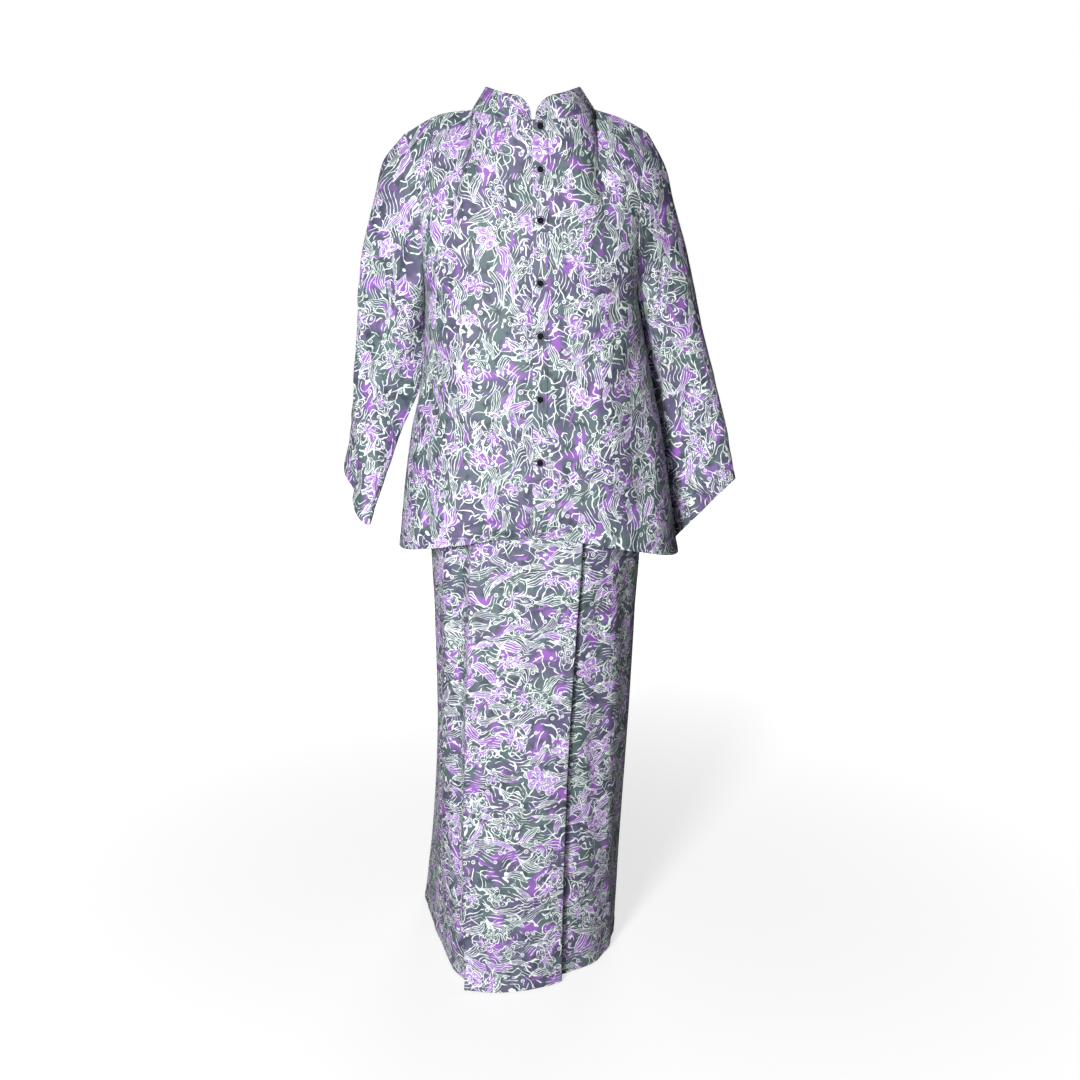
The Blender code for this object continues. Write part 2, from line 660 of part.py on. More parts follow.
def corner_drop(from_end, side):
    """How far the collar's rounded front corner lies below its top edge."""
    wide, tall = COLLAR_CORNERS[side]
    inset = np.clip(1 - from_end / wide, 0, 1)
    return tall * (1 - np.sqrt(1 - inset**2))


def collar_piece():
    """The stand collar: a leaning band round the neck, open in front, with rounded front corners."""
    start = math.asin((COLLAR_GAP[0] - NECK_CENTRE_X) / NECK_HALF_WIDTH)
    end = math.asin((COLLAR_GAP[1] - NECK_CENTRE_X) / NECK_HALF_WIDTH)
    dense = np.linspace(end, 2 * math.pi + start, 8 * DENSE)
    along = lengths(neck_point(dense))
    near = np.array(COLLAR_COLUMNS_NEAR_END)
    middle = np.linspace(near[-1], along[-1] - near[-1], COLLAR_COLUMNS + 1)[1:-1]
    places = np.concatenate([near, middle, along[-1] - near[::-1]])
    turns = np.interp(places, along, dense)
    base = neck_point(turns) + np.array([0, 0, COLLAR_LIFT])
    ahead = np.cos(turns) > 0
    depth = np.where(ahead, -COLLAR_TOP_DEPTH["front"], COLLAR_TOP_DEPTH["back"])
    middle_height = np.where(ahead, COLLAR_TOP_HEIGHT["front"], COLLAR_TOP_HEIGHT["back"])
    height = middle_height + (COLLAR_TOP_HEIGHT["side"] - middle_height) * np.abs(np.sin(turns)) ** 1.5
    squeeze = COLLAR_TOP_HALF_WIDTH / NECK_HALF_WIDTH
    top_x = base[:, 0] * squeeze + (1 - squeeze) * np.where(ahead, base[:, 0], 0) * np.abs(np.cos(turns)) ** 4
    top = np.stack([top_x, depth * np.abs(np.cos(turns)), height], axis=1)
    drop = corner_drop(places, "left") + corner_drop(along[-1] - places, "right")
    top = top + (base - top) * (drop / (height - base[:, 2]))[:, None]
    share = np.linspace(0, 1, COLLAR_ROWS + 1)[:, None, None]
    collar = make_piece(base + (top - base) * share)
    # The lower edge is cut level, so that it clears the neckline on both sides of its wall.
    collar["normals"][0, :, 2] = 0
    collar["normals"][0] = unit(collar["normals"][0])
    return collar


def waistband_piece(skirt):
    """The waistband: a plain ring that stands on the skirt's top edge."""
    front = wrap_front(SKIRT_SECTIONS["height"][-1])
    height = SKIRT_SECTIONS["height"][-1]
    flank = through([front[-1], skirt_line("flank", height), skirt_line("right", height)], DENSE)
    back = np.vstack([back_section(height)])
    left = through([skirt_line("left", height), skirt_line("corner", height), front[0]], DENSE)
    loop = np.vstack([front, flank[1:], back[1:], left[1:]])
    plan = evenly(loop, WAISTBAND_COLUMNS)[:-1]
    levels = height + SEAM_GAP + np.linspace(0, WAISTBAND_HEIGHT, 3)
    rings = [np.column_stack([plan, np.full(len(plan), level)]) for level in levels]
    return make_piece(np.array(rings), "rings")


def add_button(number, height, placket):
    """Adds a domed button on the placket's middle line, level with its outer face."""
    line = placket["points"].mean(axis=1)
    normals = placket["normals"].mean(axis=1)
    level = np.clip(height, line[0, 2] + 0.01, line[-1, 2] - 0.006)
    centre = np.array([np.interp(level, line[:, 2], line[:, k]) for k in range(3)])
    axis = unit(np.array([np.interp(level, line[:, 2], normals[:, k]) for k in range(3)]))
    aside = unit(np.cross(axis, [0, 0, 1.0]))
    upward = np.cross(aside, axis)
    turns = np.arange(BUTTON_SIDES) * 2 * math.pi / BUTTON_SIDES
    corners = []
    for radius, lift in BUTTON_PROFILE:
        ring = np.cos(turns)[:, None] * aside + np.sin(turns)[:, None] * upward
        corners.append(centre + axis * (LAYER_GAP + lift) + ring * radius)
    corners = np.vstack(corners + [centre + axis * LAYER_GAP, centre + axis * (LAYER_GAP + BUTTON_TOP)])
    corners[:, 2] -= ORIGIN_HEIGHT
    faces = []
    rings = len(BUTTON_PROFILE)
    number_of = np.arange(rings * BUTTON_SIDES).reshape(rings, BUTTON_SIDES)
    number_of = np.column_stack([number_of, number_of[:, 0]])
    for low, high in zip(number_of[:-1], number_of[1:]):
        faces += strip_faces(low, high)
    bottom, top = len(corners) - 2, len(corners) - 1
    faces += [(b, a, bottom) for a, b in zip(number_of[0][:-1], number_of[0][1:])]
    faces += [(a, b, top) for a, b in zip(number_of[-1][:-1], number_of[-1][1:])]
    return add_object(f"button_{number}", corners, faces, plain_colour("button"))


def plain_colour(name):
    """A plain material, made once."""
    if name in bpy.data.materials:
        return bpy.data.materials[name]
    material = bpy.data.materials.new(name)
    material.diffuse_color = (*COLOURS[name], 1)
    return material


def main():
    for thing in list(bpy.data.objects):
        bpy.data.objects.remove(thing, do_unlink=True)
    pieces = {
        "front_left": make_piece(front_panel("left")),
        "front_right": make_piece(front_panel("right")),
        "back": make_piece(back_panel()),
        "sleeve_left": make_piece(sleeve_grid("left"), "rings"),
        "sleeve_right": make_piece(sleeve_grid("right"), "rings"),
        "skirt_front": make_piece(skirt_grid(front_section)),
        "skirt_back": make_piece(skirt_grid(back_section)),
        "skirt_under": make_piece(skirt_grid(under_section)),
    }
    sew_tunic(pieces)
    sew_skirt(pieces)
    cloth = plain_colour("cloth")
    for name, piece in pieces.items():
        add_wall(name, piece, CLOTH, cloth)
    placket = placket_piece(pieces["front_left"])
    add_wall("placket", placket, PLACKET_CLOTH, cloth)
    add_wall("collar", collar_piece(), COLLAR_CLOTH, cloth)
    add_wall("waistband", waistband_piece(pieces), COLLAR_CLOTH, cloth)
    for number, height in enumerate(BUTTON_HEIGHTS, start=1):
        add_button(number, height, placket)


main()
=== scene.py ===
"""The dressed baju kurung: the cloth of each piece with its folds, hems and stitching, its printed batik,
the covered buttons, and the pale studio it stands in. Lengths are in metres. The front faces -Y, +X is the
wearer's left, and heights in the tables are measured from the skirt's hem.
"""

import math

import bmesh
import bpy
import numpy as np
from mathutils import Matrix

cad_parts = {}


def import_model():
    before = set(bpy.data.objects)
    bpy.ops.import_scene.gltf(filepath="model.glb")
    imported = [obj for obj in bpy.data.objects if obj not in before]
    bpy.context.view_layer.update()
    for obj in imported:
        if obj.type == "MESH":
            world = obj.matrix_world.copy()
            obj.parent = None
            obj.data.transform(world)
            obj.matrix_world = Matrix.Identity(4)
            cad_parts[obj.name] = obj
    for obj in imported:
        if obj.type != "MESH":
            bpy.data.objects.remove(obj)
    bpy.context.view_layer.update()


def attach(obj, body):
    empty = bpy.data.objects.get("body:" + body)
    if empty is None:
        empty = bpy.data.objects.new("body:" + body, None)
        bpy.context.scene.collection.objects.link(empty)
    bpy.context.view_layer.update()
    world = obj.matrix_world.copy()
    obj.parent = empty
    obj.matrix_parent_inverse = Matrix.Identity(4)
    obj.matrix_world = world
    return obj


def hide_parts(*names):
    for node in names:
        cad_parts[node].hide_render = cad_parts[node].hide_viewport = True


# The wearer's stance: the height of the origin above the skirt's hem.
ORIGIN_HEIGHT = 1.41

# The thicker walls of cloth, and the gap left beneath the placket.
COLLAR_CLOTH = 0.0020
PLACKET_CLOTH = 0.0012
LAYER_GAP = 0.0004

# How finely the walls are divided.
LOWER_ROWS = 92
UPPER_ROWS = 56
NECK_COLUMNS = 40
SHOULDER_COLUMNS = 26
SLEEVE_RINGS = 130
SKIRT_ROWS = 190
SKIRT_COLUMNS = {"front": 44, "right": 44, "back": 96, "left": 56}
DENSE = 600

# The tunic's sections: height, half width on the wearer's right and left, depth in front and behind.
TUNIC_SECTIONS = {
    "height": (0.730, 0.850, 0.950, 1.030, 1.100, 1.165),
    "right": (0.220, 0.209, 0.193, 0.176, 0.170, 0.168),
    "left": (0.244, 0.226, 0.210, 0.193, 0.180, 0.168),
    "front": (0.141, 0.139, 0.136, 0.132, 0.128, 0.124),
    "back": (0.137, 0.133, 0.126, 0.118, 0.112, 0.108),
}
TUNIC_SQUARENESS = 2.5
UNDERARM_HEIGHT = 1.165

# The tunic's hem: its height at the centre front, where it is lifted, and at the sides and centre back.
HEM_FRONT = 0.787
HEM_SIDE = {"right": 0.749, "left": 0.737}
HEM_BACK = 0.748
HEM_CURVE = 1.6
HEM_CURL = 0.0152
HEM_CURL_HEIGHT = 0.034
HEM_CURL_HALF_WIDTH = 0.115

# The front opening. The wearer's left front laps over the right one and carries the placket.
LAP_EDGE_X = 0.003
PLACKET_WIDTH = 0.023
UNDERLAP_X = 0.021
UNDERLAP_DEPTH = 0.0026
UNDERLAP_STEP = 0.008

# Neckline and stand collar.
NECK_CENTRE_X = 0.004
NECK_HALF_WIDTH = 0.094
NECK_DEPTH = {"front": 0.080, "back": 0.074}
NECK_HEIGHT = {"front": 1.424, "side": 1.442, "back": 1.407}
NECK_CURVE = 1.5
COLLAR_TOP_HALF_WIDTH = 0.073
COLLAR_TOP_DEPTH = {"front": 0.064, "back": 0.062}
COLLAR_TOP_HEIGHT = {"front": 1.459, "side": 1.475, "back": 1.427}
# Each front end of the collar is rounded off over a width and a height.
COLLAR_CORNERS = {"left": (0.030, 0.030), "right": (0.026, 0.030)}
COLLAR_GAP = (0.0008, 0.0072)
COLLAR_LIFT = 0.0005
COLLAR_COLUMNS_NEAR_END = (
    0.0, 0.0004, 0.0011, 0.0022, 0.0038, 0.0060, 0.0088, 0.0122, 0.0162, 0.0210, 0.0265, 0.0330,
)
COLLAR_COLUMNS = 120
COLLAR_ROWS = 12

# The lean over the shoulder, by the distance from the centre line, and the back's fullness.
LEAN = {"most": 0.5, "reach": 0.150}
BACK_FULLNESS = 0.008

# Armholes: the shoulder point, and the curve up to it from the underarm, in front and behind.
SHOULDER_POINT = {"right": (-0.196, 0.004, 1.406), "left": (0.180, 0.004, 1.409)}
SHOULDER_RISE = {"right": 0.010, "left": 0.004}
ARMHOLE_HEIGHT = (1.195, 1.250, 1.310, 1.370)
ARMHOLE_OUT = {"right": (0.168, 0.169, 0.173, 0.184), "left": (0.168, 0.167, 0.169, 0.173)}
ARMHOLE_FRONT = (0.042, 0.056, 0.051, 0.030)
ARMHOLE_BACK = (0.040, 0.056, 0.054, 0.034)

# Sleeves: the upper edge runs from the shoulder point and the under edge from the underarm, to the cuff's two
# corners. The half thickness lies across the line between them.
SLEEVE_UPPER = {
    "right": (
        (-0.230, 0.004, 1.365), (-0.246, 0.008, 1.297), (-0.256, 0.012, 1.227), (-0.266, 0.020, 1.132),
        (-0.276, 0.032, 1.033), (-0.296, 0.048, 0.932), (-0.313, 0.060, 0.873),
    ),
    "left": (
        (0.206, 0.004, 1.365), (0.226, 0.004, 1.297), (0.243, 0.004, 1.227), (0.265, 0.005, 1.133),
        (0.292, 0.008, 1.036), (0.320, 0.012, 0.937), (0.338, 0.015, 0.852),
    ),
}
SLEEVE_UNDER = {
    "right": (
        (-0.174, 0.012, 1.110), (-0.177, 0.018, 1.050), (-0.194, 0.006, 0.990), (-0.220, -0.024, 0.935),
        (-0.246, -0.050, 0.860), (-0.266, -0.070, 0.795),
    ),
    "left": (
        (0.174, 0.044, 1.090), (0.188, 0.064, 1.005), (0.206, 0.070, 0.925), (0.218, 0.080, 0.825),
        (0.233, 0.082, 0.718),
    ),
}
BODY_CLEARANCE = 0.0015
# The share of its length over which a sleeve keeps the armhole's form.
ARMHOLE_SHARE = 0.34
SLEEVE_FACE = {"right": (-0.86, -0.48, 0.15), "left": (-0.45, -0.88, -0.12)}
SLEEVE_HALF_THICKNESS = {
    "right": ((0.0, 0.061), (0.2, 0.055), (0.5, 0.043), (0.8, 0.028), (1.0, 0.018)),
    "left": ((0.0, 0.061), (0.2, 0.058), (0.5, 0.050), (0.8, 0.037), (1.0, 0.029)),
}

# Sleeve folds: the place round the sleeve (0 at the upper edge, 0.25 in front, 0.5 at the under edge), the
# share of its length where the fold is deepest, and its depth, half width round the sleeve and half length.
SLEEVE_FOLDS = {
    "right": (
        {"round": 0.26, "along": 0.34, "depth": 0.022, "half_round": 0.070, "half_along": 0.34},
        {"round": 0.72, "along": 0.45, "depth": 0.015, "half_round": 0.080, "half_along": 0.40},
        {"round": 0.21, "along": 1.00, "depth": 0.023, "half_round": 0.120, "half_along": 0.20},
    ),
    "left": (
        {"round": 0.33, "along": 0.42, "depth": 0.017, "half_round": 0.070, "half_along": 0.30},
        {"round": 0.17, "along": 0.66, "depth": 0.008, "half_round": 0.050, "half_along": 0.28},
        {"round": 0.74, "along": 0.50, "depth": 0.014, "half_round": 0.080, "half_along": 0.40},
    ),
}

# Buttons down the placket.
BUTTON_HEIGHTS = (1.416, 1.353, 1.279, 1.187, 1.108, 1.011, 0.913)

# The skirt's sections, from its hem to the waistband seam. Each pair of rows holds the plan position of one
# line that runs down the skirt: the wrap's free fold, the pressed crease at its other side, and so on round.
SKIRT_SECTIONS = {
    "height": (0.000, 0.200, 0.420, 0.620, 0.800, 0.890, 0.962),
    "fold_x": (0.052, 0.055, 0.062, 0.073, 0.083, 0.080, 0.070),
    "fold_y": (-0.133, -0.134, -0.130, -0.125, -0.117, -0.106, -0.090),
    "crease_x": (-0.113, -0.114, -0.109, -0.101, -0.092, -0.082, -0.070),
    "crease_y": (-0.161, -0.147, -0.131, -0.119, -0.109, -0.102, -0.090),
    "flank_x": (-0.160, -0.155, -0.147, -0.147, -0.144, -0.132, -0.108),
    "flank_y": (-0.022, -0.048, -0.062, -0.063, -0.065, -0.061, -0.056),
    "right_x": (-0.206, -0.181, -0.165, -0.165, -0.166, -0.152, -0.126),
    "right_y": (0.160, 0.080, 0.020, 0.005, 0.000, 0.000, 0.000),
    "back_x": (-0.030, -0.020, -0.005, 0.000, 0.000, 0.000, 0.000),
    "back_y": (0.205, 0.168, 0.137, 0.126, 0.121, 0.116, 0.104),
    "left_x": (0.151, 0.157, 0.167, 0.175, 0.178, 0.158, 0.126),
    "left_y": (0.060, 0.030, 0.010, 0.005, 0.000, 0.000, 0.000),
    "corner_x": (0.131, 0.139, 0.149, 0.153, 0.151, 0.137, 0.106),
    "corner_y": (-0.052, -0.056, -0.061, -0.066, -0.070, -0.064, -0.056),
    "bulge": (0.020, 0.014, 0.010, 0.008, 0.006, 0.007, 0.008),
    "stand_off": (0.021, 0.019, 0.017, 0.015, 0.012, 0.010, 0.008),
}
UNDERLAY_REACH = 0.050
BACK_ROUNDNESS = 0.76
FOLD_RETURN = 0.022
FOLD_RADIUS = 0.0030
FOLD_STEPS = 6
UNDERLAY_START = 0.004
WAISTBAND_HEIGHT = 0.036
WAISTBAND_COLUMNS = 160

# The cloth as it shows: its wall, the groove at a seam, and the band of a hem with its stitched line.
SHEER = 0.0008
SEAM_DIP = 0.0008
SEAM_REACH = 0.0022
HEM_BAND = 0.017
HEM_RAISE = 0.0009
CALM_REACH = 0.012
# The collar's lower edge laps over the neckline's outside, so that no light shows through its seam.
COLLAR_LAP = {"out": 0.0015, "down": 0.0020}
# Columns in the placket's width, and extra rows and columns by hems and seams, as parts of a row's spacing.
PLACKET_PLACES = (
    0.0004, 0.0010, 0.0018, 0.0024, 0.0030, 0.0042, 0.0075, 0.0115, 0.0155, 0.0188, 0.0200, 0.0206, 0.0212,
    0.0220, 0.0226, PLACKET_WIDTH,
)
HEM_PLACES = (0.12, 0.4, 2.8, 2.92, 3.06, 3.18, 3.32, 3.46, 3.6, 3.8)
SEAM_PLACES = (0.12, 0.32, 0.62)

# Folds lie along a line on the flat cloth. Each row: its start (across, up), its end (across, up), its
# depth (positive where the cloth stands out) and its width, all in millimetres.
FOLDS = {
    "front_left": (
        (30, 640, 100, 520, 2.2, 12), (60, 630, 150, 560, -1.8, 10), (200, 405, 130, 330, 2.6, 14),
        (215, 370, 150, 270, -2.4, 12), (110, 420, 118, 40, 3.4, 22), (165, 360, 185, 10, -4, 22),
        (60, 300, 64, 30, -2.4, 18), (28, 36, 105, 28, -3.6, 6), (236, 450, 226, 345, -5, 10),
        (24, 50, 80, 62, 1.4, 7), (26, 290, 56, 300, 1.2, 6), (26, 486, 60, 500, 1.2, 6),
    ),
    "front_right": (
        (50, 650, 120, 540, 2.2, 12), (85, 630, 165, 545, -1.8, 10), (225, 400, 150, 330, 2.4, 14),
        (235, 360, 170, 280, -2.2, 12), (125, 430, 140, 30, 3.2, 24), (190, 380, 205, 10, -3.6, 20),
        (70, 320, 80, 30, -2.6, 20), (30, 34, 120, 26, -3.8, 6), (26, 52, 105, 44, 1.6, 7),
        (26, 204, 60, 196, 1.2, 6), (26, 398, 62, 388, 1.2, 6), (26, 570, 58, 578, 1.2, 6),
    ),
    "back": (
        (90, 600, 110, 60, -4.6, 26), (170, 540, 160, 20, 4, 24), (235, 500, 240, 10, -3.6, 22),
        (305, 560, 318, 30, 4.4, 26), (380, 590, 372, 50, -4.2, 24), (120, 350, 220, 310, 1.8, 12),
        (260, 290, 350, 335, -1.6, 11), (200, 640, 280, 640, 1.4, 10),
    ),
    "sleeve_left": (
        (-60, 120, -130, 260, -3.6, 11), (-100, 200, -150, 330, 3, 12), (-40, 330, -120, 400, -3.4, 10),
        (-20, 380, -100, 470, 2.8, 12), (-60, 600, -90, 460, -3.4, 14), (-130, 590, -140, 420, 3, 14),
        (50, 180, 120, 300, -3.4, 13), (60, 350, 130, 420, 3, 12), (80, 440, 90, 600, -3.6, 16),
    ),
    "sleeve_right": (
        (-50, 100, -110, 220, -3.4, 11), (-30, 210, -130, 290, 3, 11), (-40, 280, -150, 330, -3.4, 10),
        (-20, 330, -130, 380, 2.8, 11), (-60, 560, -80, 410, -3.2, 13), (50, 150, 120, 280, -3.6, 12),
        (60, 310, 140, 360, 3.2, 11), (50, 390, 70, 560, -3.4, 15),
    ),
    "skirt_front": (
        (60, 780, 170, 700, -1.4, 10), (50, 700, 190, 640, 1.4, 11), (80, 520, 190, 470, -1, 10),
        (110, 760, 120, 20, -2.6, 26), (60, 560, 52, 10, 2, 18), (240, 860, 300, 40, 4, 22),
        (270, 820, 350, 20, -4.6, 20),
    ),
    "skirt_back": (
        (80, 920, 70, 10, -7, 24), (150, 880, 160, 10, 6.6, 26), (225, 930, 250, 10, -7.4, 26),
        (300, 900, 330, 10, 6, 24), (360, 860, 420, 10, -6, 22), (180, 700, 290, 660, 1.6, 14),
    ),
    "skirt_under": (
        (50, 880, 50, 10, -4, 20), (95, 800, 90, 10, 4.4, 18), (130, 820, 126, 200, -4, 14),
        (60, 740, 150, 690, 1.6, 10),
    ),
}

# The skirt's pressed crease, from its line on towards the flank, and its column counted from the side seam.
CREASE = {"ridge": 0.0025, "reach": 0.004, "trough": 0.0085, "behind": 0.028, "wide": 0.020}
CREASE_FROM_END = SKIRT_COLUMNS["right"] + len(SEAM_PLACES)

# The under panel falls back from the fold in one long slant, hollowed most at this distance from its seam.
UNDER_HOLLOW = {"depth": 0.010, "low": 0.100, "high": 0.074, "wide": 0.034}

# Small ripples all over each piece: height, and the waves' lengths across and up the cloth.
RIPPLES = (
    (0.00050, 0.083, 0.210), (0.00035, 0.047, 0.121), (0.00025, 0.115, 0.052), (0.00016, 0.029, 0.038),
)
SEEDS = {
    "front_left": 11, "front_right": 23, "back": 37, "sleeve_left": 41, "sleeve_right": 59, "skirt_front": 61,
    "skirt_back": 73, "skirt_under": 83,
}

# The print: each piece is cut from its own place on the cloth, and the skirt's cloth is turned a quarter.
PRINT_PLACE = {
    "front_left": (0.30, 0.10), "front_right": (-0.012, 0.10), "back": (0.92, 0.31),
    "sleeve_left": (1.37, 0.43), "sleeve_right": (1.93, 0.77), "skirt_front": (2.31, 0.12),
    "skirt_back": (2.95, 1.21), "skirt_under": (3.43, 1.83), "collar": (3.93, 2.11),
    "placket": (0.30, 0.10), "waistband": (4.31, 2.43),
}

# Stitches, and how far in from an edge their lines run.
STITCH = {"pitch": 0.0032, "long": 0.0021, "thick": 0.00028, "look": 0.001}
HEM_STITCH = HEM_BAND - 0.002
PLACKET_STITCH = 0.0024
COLLAR_STITCH = 0.0028
# The grooves of those lines, the roll at a folded edge, and the collar's slight wave.
HEM_GROOVE = {"depth": 1.1 * HEM_RAISE, "reach": 0.0015}
PLACKET_GROOVE = {"depth": 0.0003, "reach": 0.0008}
COLLAR_GROOVE = {"depth": 0.0003, "reach": 0.0009}
EDGE_ROLL = {"depth": 0.0005, "reach": 0.0012}
COLLAR_WAVE = {"size": 0.0006, "long": 0.021}

# The covered buttons: rings of (radius, height) about each one's axis, a little puckered.
BUTTON_SIDES = 28
BUTTON_PUCKER = {"size": 0.045, "times": 7, "twist": 0.5}
BUTTON_RINGS = (
    (0.0030, 0.0002), (0.0041, 0.0004), (0.0047, 0.0009), (0.0049, 0.0013), (0.0047, 0.0018),
    (0.0041, 0.0023), (0.0033, 0.0026), (0.0024, 0.0025), (0.0016, 0.0027), (0.0007, 0.0029),
)
BUTTON_CAP = 0.0001
BUTTON_CLEAR = {"low": 0.010, "high": 0.006}
# The cord loops: the turn they take round a button, their size, the cord, and the two places of each tail.
LOOP = {"turn": 2.35, "points": 22, "aside": 0.0066, "up": 0.0064, "above": 0.0011}
CORD = {"thick": 0.0008, "sides": 8}
LOOP_TAIL = ((0.0110, 0.0018), (0.0075, 0.0030))

# The print: its scale and colours.
PRINT_SCALE = 1.14
GROUND = (0.088, 0.130, 0.138, 1)
GROUND_DEEP = (0.048, 0.064, 0.084, 1)
SLATE = (0.100, 0.086, 0.168, 1)
VIOLET = (0.270, 0.098, 0.430, 1)
LILAC = (0.380, 0.205, 0.540, 1)
PALE = (0.760, 0.820, 0.805, 1)

# Its motifs: how far apart they are, where each layer starts, their size, their turn and how many show.
LEAVES = (
    {"pitch": 0.066, "shift": (0.0, 0.0, 0), "length": 0.036, "width": 0.0092, "spread": 2.4, "share": 0.80},
    {"pitch": 0.050, "shift": (5.3, 2.9, 0), "length": 0.030, "width": 0.0066, "spread": 1.7, "share": 0.85},
)
FLOWERS = (
    {"pitch": 0.098, "shift": (1.9, 8.3, 0), "radius": 0.029},
    {"pitch": 0.085, "shift": (6.1, 3.7, 0), "radius": 0.019},
)
STROKES = (
    {"pitch": 0.024, "shift": (2.2, 6.4, 0), "length": 0.017, "width": 0.0009, "share": 0.55, "ink": PALE},
    {"pitch": 0.036, "shift": (4.6, 1.3, 0), "length": 0.021, "width": 0.0014, "share": 0.42, "ink": PALE},
    {"pitch": 0.044, "shift": (8.8, 5.2, 0), "length": 0.017, "width": 0.0026, "share": 0.32, "ink": VIOLET},
)
# The height of the chest line on the flat cloth, where the prints of the tunic's pieces are lined up.
CHEST_LINE = 0.43

# How the materials' surfaces look.
WEAVE_PITCH = 0.0007
CLOTH_BUMP = {"Strength": 0.28, "Distance": 0.00025}
CLOTH_SURFACE = {"Roughness": 0.56, "Sheen Weight": 0.04, "Sheen Roughness": 0.4, "Specular IOR Level": 0.38}
GRAIN_SCALE = 900
GRAIN_SHADES = (0.65, 1.30)
GRAIN_BUMP = {"Strength": 0.3, "Distance": 0.0002}
PLAIN_SPECULAR = 0.2

# The studio. The floor glows to the camera alone, more with the distance from the garment, so that the glow
# is dimmer near the garment: a painted soft shadow round it.
FLOOR_REACH = 30.0
FLOOR_BELOW = 0.003
FLOOR_COLOUR = (0.34, 0.34, 0.34, 1)
FLOOR_GLOW_AND_PAINTED_SHADOW = {"From Min": 0.3, "From Max": 2.2, "To Min": 0.69, "To Max": 0.985}
WORLD_COLOUR = (0.93, 0.97, 1.0, 1)
WORLD_LIGHT = 0.035
LIGHTS = (
    {"name": "key", "place": (-1.20, -3.40, 0.65), "target": (0, 0, -0.75), "size": 0.7, "power": 176},
    {"name": "rear", "place": (0.6, 3.6, 0.2), "target": (0, 0, -0.75), "size": 2.0, "power": 62},
    {"name": "low", "place": (-0.6, -3.3, -0.9), "target": (0, 0, -1.1), "size": 0.8, "power": 35},
)
CAMERA = {"place": (0.014, -2.35, -0.010), "tilt": 15.45, "focal_px": 1458.0, "frame_px": 1080}
SENSOR_WIDTH = 36.0


def blend(t, span, start, start_slope, end, end_slope):
    """The smooth curve over one span, read at its share t, from both ends and the slopes there."""
    return (
        (2 * t**3 - 3 * t**2 + 1) * start
        + (t**3 - 2 * t**2 + t) * span * start_slope
        + (3 * t**2 - 2 * t**3) * end
        + (t**3 - t**2) * span * end_slope
    )


def hermite(knots, values, at):
    """A smooth curve through values at knots, read at each place in at. Values may be numbers or points."""
    knots, values = np.asarray(knots, float), np.asarray(values, float)
    at = np.clip(np.asarray(at, float), knots[0], knots[-1])
    slopes = np.gradient(values, knots, axis=0)
    left = np.clip(np.searchsorted(knots, at, side="right") - 1, 0, len(knots) - 2)
    span = knots[left + 1] - knots[left]
    t = (at - knots[left]) / span
    if values.ndim > 1:
        t, span = t[..., None], span[..., None]
    return blend(t, span, values[left], slopes[left], values[left + 1], slopes[left + 1])


def lengths(points):
    """The distance along a line of points, starting at 0."""
    steps = np.linalg.norm(np.diff(points, axis=0), axis=1)
    return np.concatenate([[0.0], np.cumsum(steps)])


def read_at(place, along, values):
    """Points or normals along a line, read at one place or at several."""
    return np.stack([np.interp(place, along, part) for part in values.T], axis=-1)


def at_distances(points, distances):
    """Points on a line of points, at these distances along it."""
    return read_at(distances, lengths(points), points)


def spaced(total, count, fixed=()):
    """count + 1 distances from 0 to total: even ones after those that are fixed."""
    if not len(fixed):
        return np.linspace(0, total, count + 1)
    return np.concatenate([[0.0], fixed[:-1], np.linspace(fixed[-1], total, count + 1 - len(fixed))])


def evenly(points, count, fixed=()):
    """count + 1 points along a line, spaced evenly after the fixed distances from its start."""
    return at_distances(points, spaced(lengths(points)[-1], count, fixed))


def through(points, count):
    """A dense smooth line through a few points."""
    points = np.asarray(points, float)
    return hermite(lengths(points), points, np.linspace(0, lengths(points)[-1], count))


def smooth_step(low, high, at):
    t = np.clip((np.asarray(at, float) - low) / (high - low), 0, 1)
    return t * t * (3 - 2 * t)


def unit(vectors):
    return vectors / np.maximum(np.linalg.norm(vectors, axis=-1, keepdims=True), 1e-12)


def sign_of(side):
    """-1 on the wearer's right, +1 on the left."""
    return {"right": -1.0, "left": 1.0}[side]


# The tunic's body.


def tunic_size(name, height):
    return hermite(TUNIC_SECTIONS["height"], TUNIC_SECTIONS[name], height)


def tunic_point(turn, height):
    """The tunic's outer surface at a turn about the body, 0 at the centre front and a half turn behind."""
    turn, height = np.broadcast_arrays(np.asarray(turn, float), np.asarray(height, float))
    power = 2 / TUNIC_SQUARENESS
    half_width = np.where(np.sin(turn) < 0, tunic_size("right", height), tunic_size("left", height))
    depth = np.where(np.cos(turn) > 0, -tunic_size("front", height), tunic_size("back", height))
    across = np.sign(np.sin(turn)) * half_width * np.abs(np.sin(turn)) ** power
    return np.stack([across, depth * np.abs(np.cos(turn)) ** power, height], axis=-1)


def turn_at(x, height):
    """The turn at which the tunic's front reaches x."""
    half_width = float(tunic_size("right" if x < 0 else "left", height))
    return math.copysign(math.asin((abs(x) / half_width) ** (TUNIC_SQUARENESS / 2)), x)


def even_turns(start, end, height, count, fixed=()):
    """Turns from start to end that space points round the tunic at one height."""
    turns = np.linspace(start, end, DENSE)
    along = lengths(tunic_point(turns, height))
    return np.interp(spaced(along[-1], count, fixed), along, turns)


def hem_height(turn):
    """The hem's height round the tunic: high in front, low at the sides."""
    side = np.where(np.sin(turn) < 0, HEM_SIDE["right"], HEM_SIDE["left"])
    middle = np.where(np.cos(turn) > 0, HEM_FRONT, HEM_BACK)
    return middle + (side - middle) * np.abs(np.sin(turn)) ** HEM_CURVE


